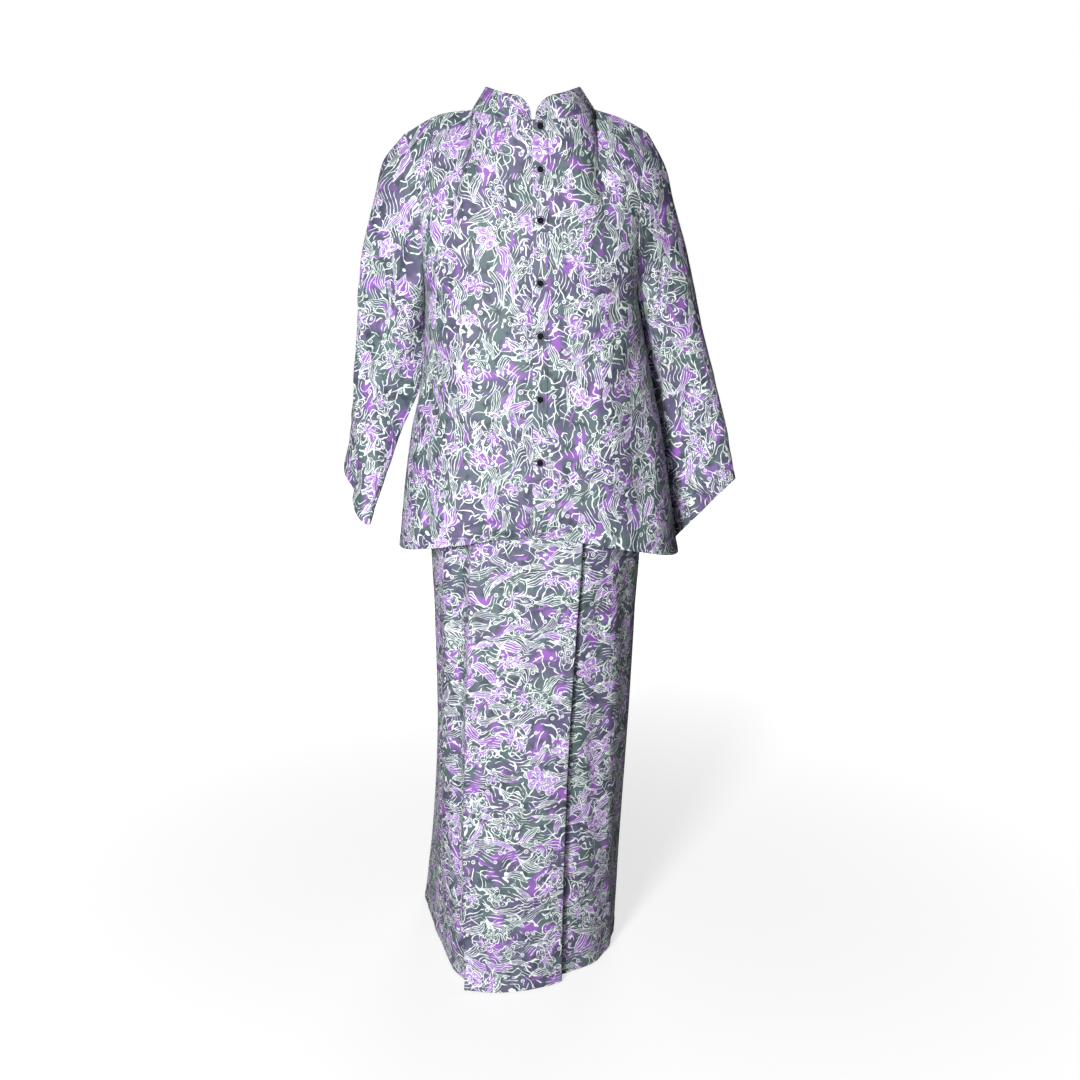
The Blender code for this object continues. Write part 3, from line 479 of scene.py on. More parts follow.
def lower_grid(first_turn, end, count, fixed=()):
    """The tunic below the underarm, hem row first. first_turn gives its first column's turn at a height."""
    rows = []
    for share in np.linspace(0, 1, LOWER_ROWS + 1):
        mean = HEM_SIDE["left"] + share * (UNDERARM_HEIGHT - HEM_SIDE["left"])
        turns = even_turns(first_turn(mean), end, mean, count, fixed)
        height = hem_height(turns) + share * (UNDERARM_HEIGHT - hem_height(turns))
        rows.append(tunic_point(turns, height))
    return np.array(rows)


def curl_hem(points):
    """Turns the middle of the front hem in towards the body, as it hangs."""
    x, y, z = points[..., 0], points[..., 1], points[..., 2]
    near = 1 - smooth_step(0.0, HEM_CURL_HEIGHT, z - z[:1])
    middle = 1 - smooth_step(0.45, 1.0, np.abs(x - LAP_EDGE_X) / HEM_CURL_HALF_WIDTH)
    points[..., 1] = y + HEM_CURL * near * middle
    return points


def neck_point(turn):
    """The neckline at a turn, 0 at the centre front and a half turn behind."""
    turn = np.asarray(turn, float)
    ahead = np.cos(turn) > 0
    depth = np.where(ahead, -NECK_DEPTH["front"], NECK_DEPTH["back"])
    middle = np.where(ahead, NECK_HEIGHT["front"], NECK_HEIGHT["back"])
    x = NECK_CENTRE_X + NECK_HALF_WIDTH * np.sin(turn)
    z = middle + (NECK_HEIGHT["side"] - middle) * np.abs(np.sin(turn)) ** NECK_CURVE
    return np.stack([x, depth * np.abs(np.cos(turn)), z], axis=-1)


def shoulder_line(side):
    """The shoulder seam, from the neckline out to the shoulder point."""
    inner = neck_point(sign_of(side) * math.pi / 2)
    outer = np.array(SHOULDER_POINT[side])
    middle = (inner + outer) / 2 + np.array([0, 0, SHOULDER_RISE[side]])
    return through([inner, middle, outer], DENSE)


def armhole(side, face):
    """The armhole's front or back curve, from the underarm up to the shoulder point."""
    out = np.array(ARMHOLE_OUT[side]) * sign_of(side)
    depth = -np.array(ARMHOLE_FRONT) if face == "front" else np.array(ARMHOLE_BACK)
    between = np.stack([out, depth, np.array(ARMHOLE_HEIGHT)], axis=1)
    low = tunic_point(sign_of(side) * math.pi / 2, UNDERARM_HEIGHT)
    return evenly(through(np.vstack([low, between, SHOULDER_POINT[side]]), DENSE), UPPER_ROWS)


def rise(low, top, lean, v):
    """Columns that leave the tunic's lower part smoothly and lean over the shoulder by the share in lean."""
    chord = top - low[-1]
    length = np.linalg.norm(chord, axis=-1, keepdims=True)
    start = unit(low[-1] - low[-2]) * length
    end = chord.copy()
    end[:, 1] += lean * length[:, 0]
    return blend(v[:, None, None], 1, low[-1], start, top, end)


def lean_at(top):
    """How far each column leans over the shoulder: not at all near the centre line, most beyond the neck."""
    return LEAN["most"] * smooth_step(0.0, LEAN["reach"], np.abs(top[:, 0] - NECK_CENTRE_X))


def bend_edge(points, edge, column, reach):
    """Bends one side of a patch onto its edge curve. The bend fades out over a share of the patch's width."""
    count = points.shape[1] - 1
    away = np.abs(np.arange(count + 1) - (column % (count + 1))) / count
    weight = np.clip(1 - away / reach, 0, 1) ** 1.8
    return points + weight[None, :, None] * (edge - points[:, column])[:, None]


def front_panel(side):
    """The outer points of one front, from its opening edge to its side seam and armhole."""
    columns = NECK_COLUMNS + SHOULDER_COLUMNS
    edge_x, fixed = LAP_EDGE_X, list(PLACKET_PLACES)
    if side == "right":
        under = UNDERLAP_X - LAP_EDGE_X
        edge_x, fixed, columns = UNDERLAP_X, [under, under + UNDERLAP_STEP], columns + 1
    quarter = sign_of(side) * math.pi / 2
    low = curl_hem(lower_grid(lambda height: turn_at(edge_x, height), quarter, columns, fixed))
    neck_start = math.asin((edge_x - NECK_CENTRE_X) / NECK_HALF_WIDTH)
    neck_line = neck_point(np.linspace(neck_start, quarter, DENSE))
    neck = evenly(neck_line, columns - SHOULDER_COLUMNS, fixed)
    shoulder = evenly(shoulder_line(side), SHOULDER_COLUMNS)
    top = np.vstack([neck, shoulder[1:]])
    v = np.linspace(0, 1, UPPER_ROWS + 1)
    high = bend_edge(rise(low, top, lean_at(top), v), armhole(side, "front"), -1, 0.7)
    points = np.vstack([low, high[1:]])
    if side == "right":
        points[:, :2, 1] += UNDERLAP_DEPTH
    return points


def back_panel():
    """The outer points of the back, from the wearer's left side seam to the right one."""
    columns = 2 * (NECK_COLUMNS + SHOULDER_COLUMNS)
    low = lower_grid(lambda height: math.pi / 2, 3 * math.pi / 2, columns)
    neck = evenly(neck_point(np.linspace(math.pi / 2, 3 * math.pi / 2, DENSE)), 2 * NECK_COLUMNS)
    left = evenly(shoulder_line("left"), SHOULDER_COLUMNS)[::-1]
    right = evenly(shoulder_line("right"), SHOULDER_COLUMNS)
    top = np.vstack([left, neck[1:-1], right])
    v = np.linspace(0, 1, UPPER_ROWS + 1)
    across = np.linspace(-1, 1, columns + 1)
    high = rise(low, top, -lean_at(top), v)
    high = bend_edge(high, armhole("left", "back"), 0, 0.5)
    high = bend_edge(high, armhole("right", "back"), -1, 0.5)
    high[..., 1] += BACK_FULLNESS * np.sin(math.pi * v)[:, None] ** 2 * (1 - across**2)
    return np.vstack([low, high[1:]])


# Sleeves.


def sleeve_grid(side):
    """The sleeve's outer rings, from the armhole to the cuff. Columns run from the top round by the front."""
    front = armhole(side, "front")[::-1]
    back = armhole(side, "back")
    loop = np.vstack([front, back[1:-1]])
    turns = np.arange(2 * UPPER_ROWS) * math.pi / UPPER_ROWS
    upper = evenly(through(np.vstack([front[:1], SLEEVE_UPPER[side]]), DENSE), SLEEVE_RINGS)
    under = evenly(through(np.vstack([back[:1], SLEEVE_UNDER[side]]), DENSE), SLEEVE_RINGS)
    fall = ((1 - np.cos(turns)) / 2)[:, None]
    loop_bow = loop - (loop[0] + (loop[UPPER_ROWS] - loop[0]) * fall)
    knots, half = np.array(SLEEVE_HALF_THICKNESS[side]).T
    rings = []
    for share, top, bottom in zip(np.linspace(0, 1, SLEEVE_RINGS + 1), upper, under):
        axis = unit(top - bottom)
        face = np.array(SLEEVE_FACE[side])
        face = unit(face - (face @ axis) * axis)
        bow = hermite(knots, half, share) * np.sin(turns)[:, None] * face
        weight = smooth_step(0, ARMHOLE_SHARE, share)
        rings.append(top + (bottom - top) * fall + (1 - weight) * loop_bow + weight * bow)
    return clear_of_body(press_folds(np.array(rings), side))


def clear_of_body(points):
    """Moves the sleeve's points that would reach into the tunic's body until they are just clear of it."""
    x, y, z = points[..., 0], points[..., 1], points[..., 2]
    near = np.clip(np.arange(len(points)) / 3, 0, 1)[:, None]
    half_width = np.where(x < 0, tunic_size("right", z), tunic_size("left", z)) + BODY_CLEARANCE * near
    depth = np.where(y < 0, tunic_size("front", z), tunic_size("back", z)) + BODY_CLEARANCE * near
    power = TUNIC_SQUARENESS
    reach = ((np.abs(x) / half_width) ** power + (np.abs(y) / depth) ** power) ** (1 / power)
    push = np.where((reach < 1) & (near > 0) & (z < UNDERARM_HEIGHT), 1 / np.maximum(reach, 0.3), 1.0)
    points[..., 0] *= push
    points[..., 1] *= push
    return points


def press_folds(points, side):
    """Presses the sleeve's folds in towards the middle of its rings."""
    rings, columns = points.shape[:2]
    inward = unit(points.mean(axis=1, keepdims=True) - points)
    along = np.linspace(0, 1, rings)[:, None]
    around = np.arange(columns)[None, :] / columns
    for fold in SLEEVE_FOLDS[side]:
        away = np.abs((around - fold["round"] + 0.5) % 1 - 0.5) / fold["half_round"]
        far = np.abs(along - fold["along"]) / fold["half_along"]
        depth = fold["depth"] * np.exp(-(away**2)) * np.clip(1 - far**2, 0, 1)
        points = points + inward * (depth * smooth_step(0, 0.12, along))[..., None]
    return points


# The skirt.


def skirt_line(name, height):
    """The plan positions of one of the skirt's lines at these heights."""
    x = hermite(SKIRT_SECTIONS["height"], SKIRT_SECTIONS[name + "_x"], height)
    y = hermite(SKIRT_SECTIONS["height"], SKIRT_SECTIONS[name + "_y"], height)
    return np.stack([x, y], axis=-1)


def skirt_size(name, height):
    return float(hermite(SKIRT_SECTIONS["height"], SKIRT_SECTIONS[name], height))


def wrap_front(height):
    """The wrap's front in plan, from its free fold to the pressed crease, bowed a little to the front."""
    fold, crease = skirt_line("fold", height), skirt_line("crease", height)
    share = np.linspace(0, 1, DENSE)[:, None]
    line = fold + (crease - fold) * share
    line[:, 1] -= skirt_size("bulge", height) * np.sin(math.pi * share[:, 0])
    return line


def flank_line(height):
    """The skirt's side in plan, from the pressed crease to the seam on the wearer's right."""
    return through([wrap_front(height)[-1], skirt_line("flank", height), skirt_line("right", height)], DENSE)


def front_section(height):
    """skirt_front in plan: the turned-in edge, the fold, the front, the pressed crease and the flank."""
    front = wrap_front(height)
    ahead = unit(front[3] - front[0])
    outward = np.array([ahead[1], -ahead[0]])
    outward = outward if outward[1] < 0 else -outward
    centre = front[0] + ahead * FOLD_RADIUS - outward * FOLD_RADIUS
    turns = np.linspace(math.pi, 0, FOLD_STEPS)[:, None]
    turn_back = centre - ahead * FOLD_RADIUS * np.sin(turns) + outward * FOLD_RADIUS * np.cos(turns)
    tail = at_distances(front, np.array([FOLD_RETURN])) - outward * 2 * FOLD_RADIUS
    flat = evenly(front[lengths(front) > FOLD_RADIUS], SKIRT_COLUMNS["front"])[1:]
    return np.vstack([tail, turn_back, flat, evenly(flank_line(height), SKIRT_COLUMNS["right"])[1:]])


def quarter_round(start, end):
    """Part of the back in plan: it leaves start towards +Y and arrives at end along X."""
    corner = np.array([start[0], end[1]])
    t = np.linspace(0, 1, DENSE)[:, None]
    first = start + (corner - start) * BACK_ROUNDNESS
    second = end + (corner - end) * BACK_ROUNDNESS
    return (1 - t) ** 3 * start + 3 * (1 - t) ** 2 * t * first + 3 * (1 - t) * t**2 * second + t**3 * end


def back_section(height):
    """skirt_back in plan, from the wearer's right seam to the left one."""
    right, back, left = (skirt_line(name, height) for name in ("right", "back", "left"))
    line = np.vstack([quarter_round(right, back), quarter_round(left, back)[::-1][1:]])
    return evenly(line, SKIRT_COLUMNS["back"])


def under_section(height):
    """skirt_under in plan: from the wearer's left seam, round the corner and in beneath the wrap's front."""
    front = wrap_front(height)
    stand_off = np.array([0, skirt_size("stand_off", height)])
    begin = at_distances(front, np.array([UNDERLAY_START]))[0] + stand_off
    reach = at_distances(front, np.array([UNDERLAY_REACH]))[0] + stand_off * 0.8
    side = through([skirt_line("left", height), skirt_line("corner", height), begin, reach], DENSE)
    return evenly(side, SKIRT_COLUMNS["left"])


def at_level(plan, height):
    """Plan positions as points at one height."""
    return np.column_stack([plan, np.full(len(plan), height)])


def skirt_grid(section):
    """The rows of a piece of the skirt, from its hem to its top edge."""
    heights = np.linspace(SKIRT_SECTIONS["height"][0], SKIRT_SECTIONS["height"][-1], SKIRT_ROWS + 1)
    return np.array([at_level(section(height), height) for height in heights])


# Walls of cloth.


def make_piece(points, closed=False):
    """A piece's outer points and their outward normals. The rows of a closed piece are rings."""
    if closed:
        across = np.roll(points, -1, axis=1) - np.roll(points, 1, axis=1)
        middle = points.mean(axis=1, keepdims=True)
    else:
        across = np.gradient(points, axis=1)
        middle = points * np.array([0, 0, 1])
    normals = unit(np.cross(across, np.gradient(points, axis=0)))
    if np.sum(normals * (points - middle)) < 0:
        normals = -normals
    return {"points": points, "normals": normals, "closed": closed}


def share_normals(pieces):
    """Gives the points that pieces share at a seam one normal, so that their cut edges lie face to face."""
    sums = {}
    keys = [[tuple(key) for key in np.round(piece["points"].reshape(-1, 3), 6)] for piece in pieces]
    for piece, own in zip(pieces, keys):
        for key, normal in zip(own, piece["normals"].reshape(-1, 3)):
            sums[key] = sums.get(key, 0) + normal
    for piece, own in zip(pieces, keys):
        piece["normals"] = unit(np.array([sums[key] for key in own])).reshape(piece["points"].shape)


def corner_drop(from_end, side):
    """How far the collar's rounded front corner lies below its top edge."""
    wide, tall = COLLAR_CORNERS[side]
    inset = np.clip(1 - from_end / wide, 0, 1)
    return tall * (1 - np.sqrt(1 - inset**2))


def collar_piece():
    """The stand collar: a leaning band round the neck, open in front, with rounded front corners."""
    start = math.asin((COLLAR_GAP[0] - NECK_CENTRE_X) / NECK_HALF_WIDTH)
    end = math.asin((COLLAR_GAP[1] - NECK_CENTRE_X) / NECK_HALF_WIDTH)
    dense = np.linspace(end, 2 * math.pi + start, 8 * DENSE)
    along = lengths(neck_point(dense))
    near = np.array(COLLAR_COLUMNS_NEAR_END)
    middle = np.linspace(near[-1], along[-1] - near[-1], COLLAR_COLUMNS + 1)[1:-1]
    places = np.concatenate([near, middle, along[-1] - near[::-1]])
    turns = np.interp(places, along, dense)
    base = neck_point(turns) + np.array([0, 0, COLLAR_LIFT])
    ahead = np.cos(turns) > 0
    depth = np.where(ahead, -COLLAR_TOP_DEPTH["front"], COLLAR_TOP_DEPTH["back"])
    middle_height = np.where(ahead, COLLAR_TOP_HEIGHT["front"], COLLAR_TOP_HEIGHT["back"])
    height = middle_height + (COLLAR_TOP_HEIGHT["side"] - middle_height) * np.abs(np.sin(turns)) ** NECK_CURVE
    squeeze = COLLAR_TOP_HALF_WIDTH / NECK_HALF_WIDTH
    top_x = base[:, 0] * squeeze + (1 - squeeze) * np.where(ahead, base[:, 0], 0) * np.abs(np.cos(turns)) ** 4
    top = np.stack([top_x, depth * np.abs(np.cos(turns)), height], axis=1)
    drop = corner_drop(places, "left") + corner_drop(along[-1] - places, "right")
    top = top + (base - top) * (drop / (height - base[:, 2]))[:, None]
    share = np.linspace(0, 1, COLLAR_ROWS + 1)[:, None, None]
    collar = make_piece(base + (top - base) * share)
    # The lower edge is cut level, so that it clears the neckline on both sides of its wall.
    collar["normals"][0, :, 2] = 0
    collar["normals"][0] = unit(collar["normals"][0])
    return collar


# Flat places on the cloth, its folds, seams and hems.


def with_rows(grid, extra):
    """A grid with rows added at fractional row numbers."""
    index = np.unique(np.concatenate([np.arange(len(grid)), extra]))
    before = np.minimum(np.floor(index).astype(int), len(grid) - 2)
    share = (index - before)[:, None, None]
    return grid[before] * (1 - share) + grid[before + 1] * share


def refine(points, low=(), high=(), left=(), right=()):
    """Adds rows and columns close to a grid's edges, so that seams and hems show crisply."""
    for near, far in ((low, high), (left, right)):
        last = len(points) - 1
        points = with_rows(points, np.concatenate([near, last - np.array(far, float)])).transpose(1, 0, 2)
    return points


def flat_places(points, closed=False):
    """The distances along the rows and up the columns of a grid."""
    if closed:
        points = np.concatenate([points, points[:, :1]], axis=1)
    across = np.array([lengths(row) for row in points])
    up = np.array([lengths(column) for column in points.transpose(1, 0, 2)]).T
    return across, up


def fold_heights(across, up, folds):
    """How far the folds lift or press the cloth."""
    height = np.zeros_like(across)
    for number, fold in enumerate(np.array(folds) / 1000):
        start, end, depth, width = fold[:2], fold[2:4], fold[4], fold[5]
        run = end - start
        share = ((across - start[0]) * run[0] + (up - start[1]) * run[1]) / (run @ run)
        held = np.clip(share, 0, 1)
        bend = 0.12 * width * np.sin(held * 9 + number * 1.7)
        away = np.hypot(across - start[0] - run[0] * held - bend, up - start[1] - run[1] * held)
        taper = smooth_step(0, 0.3, held)
        if end[1] > 0.045:
            taper = taper * (1 - smooth_step(0.65, 1.0, held))
        height += depth * taper * np.exp(-((away / width) ** 2))
    return height


def ripple_heights(across, up, seed):
    """Small uneven ripples, the same each time for one seed."""
    draw = np.random.default_rng(seed)
    height = np.zeros_like(across)
    for size, wide, tall in RIPPLES:
        phase = draw.uniform(0, 2 * math.pi, 4)
        slant = draw.uniform(-0.5, 0.5)
        bow = slant * np.sin(2 * math.pi * up / tall + phase[1]) * 3
        wave = np.sin(2 * math.pi * across / wide + phase[0] + bow)
        height += size * wave * np.sin(2 * math.pi * up / tall + phase[2] + 2 * across / wide)
    return height


def uneven(name, across, up):
    """The height of a piece's folds and ripples."""
    return fold_heights(across, up, FOLDS[name]) + ripple_heights(across, up, SEEDS[name])


def dip(distance, depth, reach):
    """A rounded groove, deepest where the distance is 0."""
    return -depth * np.exp(-((distance / reach) ** 2))


def seam_dip(distance):
    return dip(distance, SEAM_DIP, SEAM_REACH)


def hem_band(distance):
    """The doubled band of a hem and the groove of its stitched line."""
    band = HEM_RAISE * (1 - smooth_step(HEM_BAND - 0.0012, HEM_BAND + 0.0016, distance))
    return band + dip(distance - HEM_STITCH, **HEM_GROOVE)


def calm(distance, reach=CALM_REACH):
    return smooth_step(0, reach, distance)


def lift(piece, height):
    piece["points"] = piece["points"] + piece["normals"] * height[..., None]


def shape_panel(name, piece):
    """Folds, seams and hem of a front or of the back."""
    across, up = flat_places(piece["points"])
    end, top = across[:, -1:] - across, up[-1:] - up
    still = calm(end) * calm(top)
    if name == "back":
        still = still * calm(across)
    else:
        still = still * calm(across - (0.022 if name == "front_right" else 0.0), 0.020)
    height = uneven(name, across, up) * still + seam_dip(end) + seam_dip(top) + hem_band(up)
    if name == "back":
        height += seam_dip(across)
    lift(piece, height)
    piece["across"], piece["up"] = across, up


def shape_sleeve(name, piece):
    """Folds, armhole seam, underarm seam and hem of a sleeve."""
    across, up = flat_places(piece["points"], True)
    half = UPPER_ROWS
    signed = np.where(np.arange(across.shape[1]) <= half, -across, across[:, -1:] - across)
    under = np.abs(across - across[:, half : half + 1])
    height = uneven(name, signed, up) * calm(up, 0.03) + seam_dip(up) + hem_band(up[-1:] - up)
    lift(piece, (height + 0.6 * seam_dip(under))[:, :-1])
    piece["across"], piece["up"] = across, up


def crease_height(beyond):
    """The pressed crease: a sharp ridge, and a shallow trough behind it on the flank."""
    ridge = CREASE["ridge"] * np.exp(-np.abs(beyond) / CREASE["reach"])
    return ridge + dip(beyond - CREASE["behind"], CREASE["trough"], CREASE["wide"])


def hollow_height(across, share):
    """The under panel's hollow, along a line that slants with the share of the height."""
    middle = UNDER_HOLLOW["low"] + (UNDER_HOLLOW["high"] - UNDER_HOLLOW["low"]) * share
    return dip(across - middle, UNDER_HOLLOW["depth"], UNDER_HOLLOW["wide"])


def shape_skirt(name, piece):
    """Folds, side seams and hem of a piece of the skirt."""
    across, up = flat_places(piece["points"])
    end = across[:, -1:] - across
    still = calm(up[-1:] - up, 0.04)
    if name == "skirt_front":
        still = still * calm(across - 0.020, 0.03)
        seams = crease_height(across - across[:, -1 - CREASE_FROM_END :][:, :1])
    else:
        still = still * calm(across)
        seams = seam_dip(across)
    if name == "skirt_under":
        still = still * calm(end - 0.045, 0.02)
        seams = seams + hollow_height(across, up / up[-1:])
    else:
        still = still * calm(end)
        seams = seams + seam_dip(end)
    lift(piece, uneven(name, across, up) * still + seams + hem_band(up))
    piece["across"], piece["up"] = across, up


def spread_flat(points, rings=20, columns=24):
    """Spreads a tube, cut open along its under line, flat with its angles kept.

    Returns a place for each ring and column, from the under line round by the top line to the under line.
    """
    half = points.shape[1] // 2
    opened = np.roll(points, -half, axis=1)
    opened = np.concatenate([opened, opened[:, :1]], axis=1)
    ring_index = np.linspace(0, len(points) - 1, rings + 1).round().astype(int)
    column_index = np.linspace(0, 2 * half, 2 * columns + 1).round().astype(int)
    coarse = opened[np.ix_(ring_index, column_index)]
    number = np.arange(coarse.shape[0] * coarse.shape[1]).reshape(coarse.shape[:2])
    a, b, c, d = number[:-1, :-1], number[:-1, 1:], number[1:, 1:], number[1:, :-1]
    corners = np.concatenate([np.stack(t, axis=-1).reshape(-1, 3) for t in ((a, b, c), (a, c, d))])
    flat = coarse.reshape(-1, 3)
    first, second, third = (flat[corners[:, k]] for k in range(3))
    along = second - first
    long = np.linalg.norm(along, axis=1)
    axis = along / long[:, None]
    x = np.sum((third - first) * axis, axis=1)
    y = np.linalg.norm(third - first - x[:, None] * axis, axis=1)
    local = np.stack([np.zeros(len(x)) + 0j, long + 0j, x + 1j * y], axis=1)
    weights = np.roll(local, 1, axis=1) - np.roll(local, -1, axis=1)
    weights = weights / np.sqrt(long * y)[:, None]
    system = np.zeros((len(corners), len(flat)), complex)
    for k in range(3):
        system[np.arange(len(corners)), corners[:, k]] += weights[:, k]
    top = [number[0, columns], number[-1, columns]]
    place = np.zeros(len(flat), complex)
    place[top[1]] = -1j * lengths(points[:, 0])[-1]
    free = np.setdiff1d(np.arange(len(flat)), top)
    loose = system[:, free]
    place[free] = np.linalg.solve(loose.conj().T @ loose, -loose.conj().T @ (system[:, top] @ place[top]))
    place = place.reshape(coarse.shape[:2])
    return spread_between(place, ring_index, column_index, opened.shape[:2])


def spread_between(place, ring_index, column_index, shape):
    """Fills in a coarse grid of complex places to a full one and returns it as pairs."""
    full = []
    for values in (place.real, place.imag):
        wide = np.array([np.interp(np.arange(shape[1]), column_index, row) for row in values])
        tall = np.array([np.interp(np.arange(shape[0]), ring_index, column) for column in wide.T]).T
        full.append(tall)
    return np.stack(full, axis=-1)


# Meshes.


def grid_corners(piece):
    """Corner numbers of a piece's outer points, with the first column repeated at the end of a closed one."""
    rows, columns = piece["points"].shape[:2]
    numbers = np.arange(rows * columns).reshape(rows, columns)
    return np.column_stack([numbers, numbers[:, 0]]) if piece["closed"] else numbers


def print_places(name, piece):
    """Where each corner of each quad lies on the printed cloth, for both sides of a closed piece."""
    across, up = piece["across"], piece["up"]
    place = PRINT_PLACE[name]
    if name.startswith("sleeve"):
        opened = spread_flat(piece["points"])
        half = piece["points"].shape[1] // 2
        first = np.concatenate([opened[:, half:], opened[:, 1 : half + 1]], axis=1)
        second = np.concatenate([opened[:, half:-1], opened[:, : half + 1]], axis=1)
        return first + place, second + place
    flat = np.stack([across, up], axis=-1)
    if name.startswith("skirt"):
        flat = np.stack([up, -across], axis=-1)
    elif name == "collar":
        flat[..., 0] = across.mean(axis=0)
    elif name != "waistband":
        chest = LOWER_ROWS + len(HEM_PLACES)
        middle = across[:, across.shape[1] // 2][:, None] if name == "back" else 0
        way = -1 if name in ("front_right", "back") else 1
        flat = np.stack([(across - middle) * way, up - up[chest : chest + 1] + CHEST_LINE], axis=-1)
    return flat + place, flat + place


def add_mesh(name, corners, faces, material, smooth=(), flat=()):
    """Adds a mesh, its faces outward. smooth marks the smooth faces, flat places them on the print."""
    corners = np.array(corners)
    corners[:, 2] -= ORIGIN_HEIGHT
    mesh = bpy.data.meshes.new(name)
    mesh.from_pydata(corners.tolist(), [], faces)
    if len(flat):
        mesh.uv_layers.new(name="cloth").data.foreach_set("uv", np.array(flat, float).reshape(-1))
    if len(smooth):
        mesh.polygons.foreach_set("use_smooth", smooth)
    if mesh_volume(mesh) < 0:
        mesh.flip_normals()
    mesh.materials.append(material)
    made = add_object(name, mesh)
    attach(made, "root")
    return made


def add_cloth(name, piece, thickness, material, places):
    """Adds one piece of cloth as a closed wall, with its place on the printed cloth."""
    outer = piece["points"]
    inner = outer - piece["normals"] * thickness
    front = grid_corners(piece)
    behind = front + outer.shape[0] * outer.shape[1]
    last, end = front.shape[0] - 1, front.shape[1] - 1
    half = UPPER_ROWS if piece["closed"] else end
    faces, flat, smooth = [], [], []

    def quad(marks, far_grid, is_smooth, near_grid=front):
        side = places[0] if max(mark[1] for mark in marks) <= half else places[1]
        grids = (near_grid, near_grid, far_grid, far_grid)
        faces.append([int(grid[mark]) for grid, mark in zip(grids, marks)])
        flat.extend(side[mark] for mark in marks)
        smooth.append(is_smooth)

    for row in range(last):
        for column in range(end):
            around = [(row, column), (row, column + 1), (row + 1, column + 1), (row + 1, column)]
            quad(around, front, True)
            quad(around[::-1], behind, True, behind)
    for column in range(end):
        quad([(0, column + 1), (0, column), (0, column), (0, column + 1)], behind, False)
        quad([(last, column), (last, column + 1), (last, column + 1), (last, column)], behind, False)
    for row in range(0 if piece["closed"] else last):
        quad([(row, 0), (row + 1, 0), (row + 1, 0), (row, 0)], behind, False)
        quad([(row + 1, end), (row, end), (row, end), (row + 1, end)], behind, False)
    corners = np.vstack([outer.reshape(-1, 3), inner.reshape(-1, 3)])
    return add_mesh(name, corners, faces, material, smooth, flat)


def add_object(name, data):
    """Adds an object to the scene."""
    made = bpy.data.objects.new(name, data)
    bpy.context.scene.collection.objects.link(made)
    return made


def mesh_volume(mesh):
    """The signed volume inside a mesh."""
    work = bmesh.new()
    work.from_mesh(mesh)
    volume = work.calc_volume(signed=True)
    work.free()
    return volume


def add_stitches(name, lines, material):
    """Adds sewn stitches along lines of points, each line with its normals."""
    pitch, half, thick = STITCH["pitch"], STITCH["long"] / 2, STITCH["thick"]
    corners, faces = [], []
    for points, normals in lines:
        along = lengths(points)
        for place in np.arange(pitch, along[-1] - pitch, pitch):
            middle, normal = read_at(place, along, points), read_at(place, along, normals)
            ahead = unit(read_at(place + STITCH["look"], along, points) - middle)
            aside = unit(np.cross(ahead, normal))
            first = len(corners)
            corners += [middle + way * ahead * half - normal * thick * 0.5 for way in (-1, 1)]
            corners += [middle + out * thick for out in (aside, normal, -aside, -normal)]
            for a, b in ((2, 3), (3, 4), (4, 5), (5, 2)):
                faces += [(first, first + a, first + b), (first + 1, first + b, first + a)]
    return add_mesh(name, corners, faces, material)


def line_at(piece, distance, from_far=False, way="up"):
    """The line at a distance up or across a piece, from its first or far edge, with its normals."""
    points, normals, along = piece["points"], piece["normals"], piece[way]
    if way == "up":
        points, normals, along = points.transpose(1, 0, 2), normals.transpose(1, 0, 2), along.T
    line, facing = [], []
    for row, outward, distances in zip(points, normals, along):
        place = distances[-1] - distance if from_far else distance
        line.append(read_at(place, distances, row))
        facing.append(read_at(place, distances, outward))
    if piece["closed"]:
        line.append(line[0])
        facing.append(facing[0])
    return np.array(line), np.array(facing)


# Materials.


def feed(tree, node, inputs):
    """Fills a node's inputs, each with a value or with another node's output, and returns the node."""
    for name, value in inputs.items():
        value = value.socket if isinstance(value, Sum) else value
        if isinstance(value, bpy.types.NodeSocket):
            tree.links.new(value, node.inputs[name])
        else:
            node.inputs[name].default_value = value
    return node


def add_node(tree, kind, inputs):
    """Adds a node with these inputs."""
    return feed(tree, tree.nodes.new("ShaderNode" + kind), inputs)


class Sum:
    """A number in a node tree, which can be added, multiplied and compared like a plain one."""

    def __init__(self, tree, socket):
        self.tree, self.socket = tree, socket

    def op(self, kind, *others):
        node = self.tree.nodes.new("ShaderNodeMath")
        node.operation = kind
        feed(self.tree, node, dict(enumerate((self, *others))))
        return Sum(self.tree, node.outputs[0])

    def __add__(self, other):
        return self.op("ADD", other)

    def __sub__(self, other):
        return self.op("SUBTRACT", other)

    def __mul__(self, other):
        return self.op("MULTIPLY", other)

    def __truediv__(self, other):
        return self.op("DIVIDE", other)

    def abs(self):
        return self.op("ABSOLUTE")

    def high(self, other):
        return self.op("MAXIMUM", other)

    def step(self, start, end):
        """0 below start and 1 above end, or the other way round when end is lower."""
        node = self.tree.nodes.new("ShaderNodeMapRange")
        node.interpolation_type = "SMOOTHSTEP"
        span = {"From Min": min(start, end), "From Max": max(start, end)}
        ends = {"To Min": float(start > end), "To Max": float(end > start)}
        feed(self.tree, node, {"Value": self, **span, **ends})
        return Sum(self.tree, node.outputs["Result"])


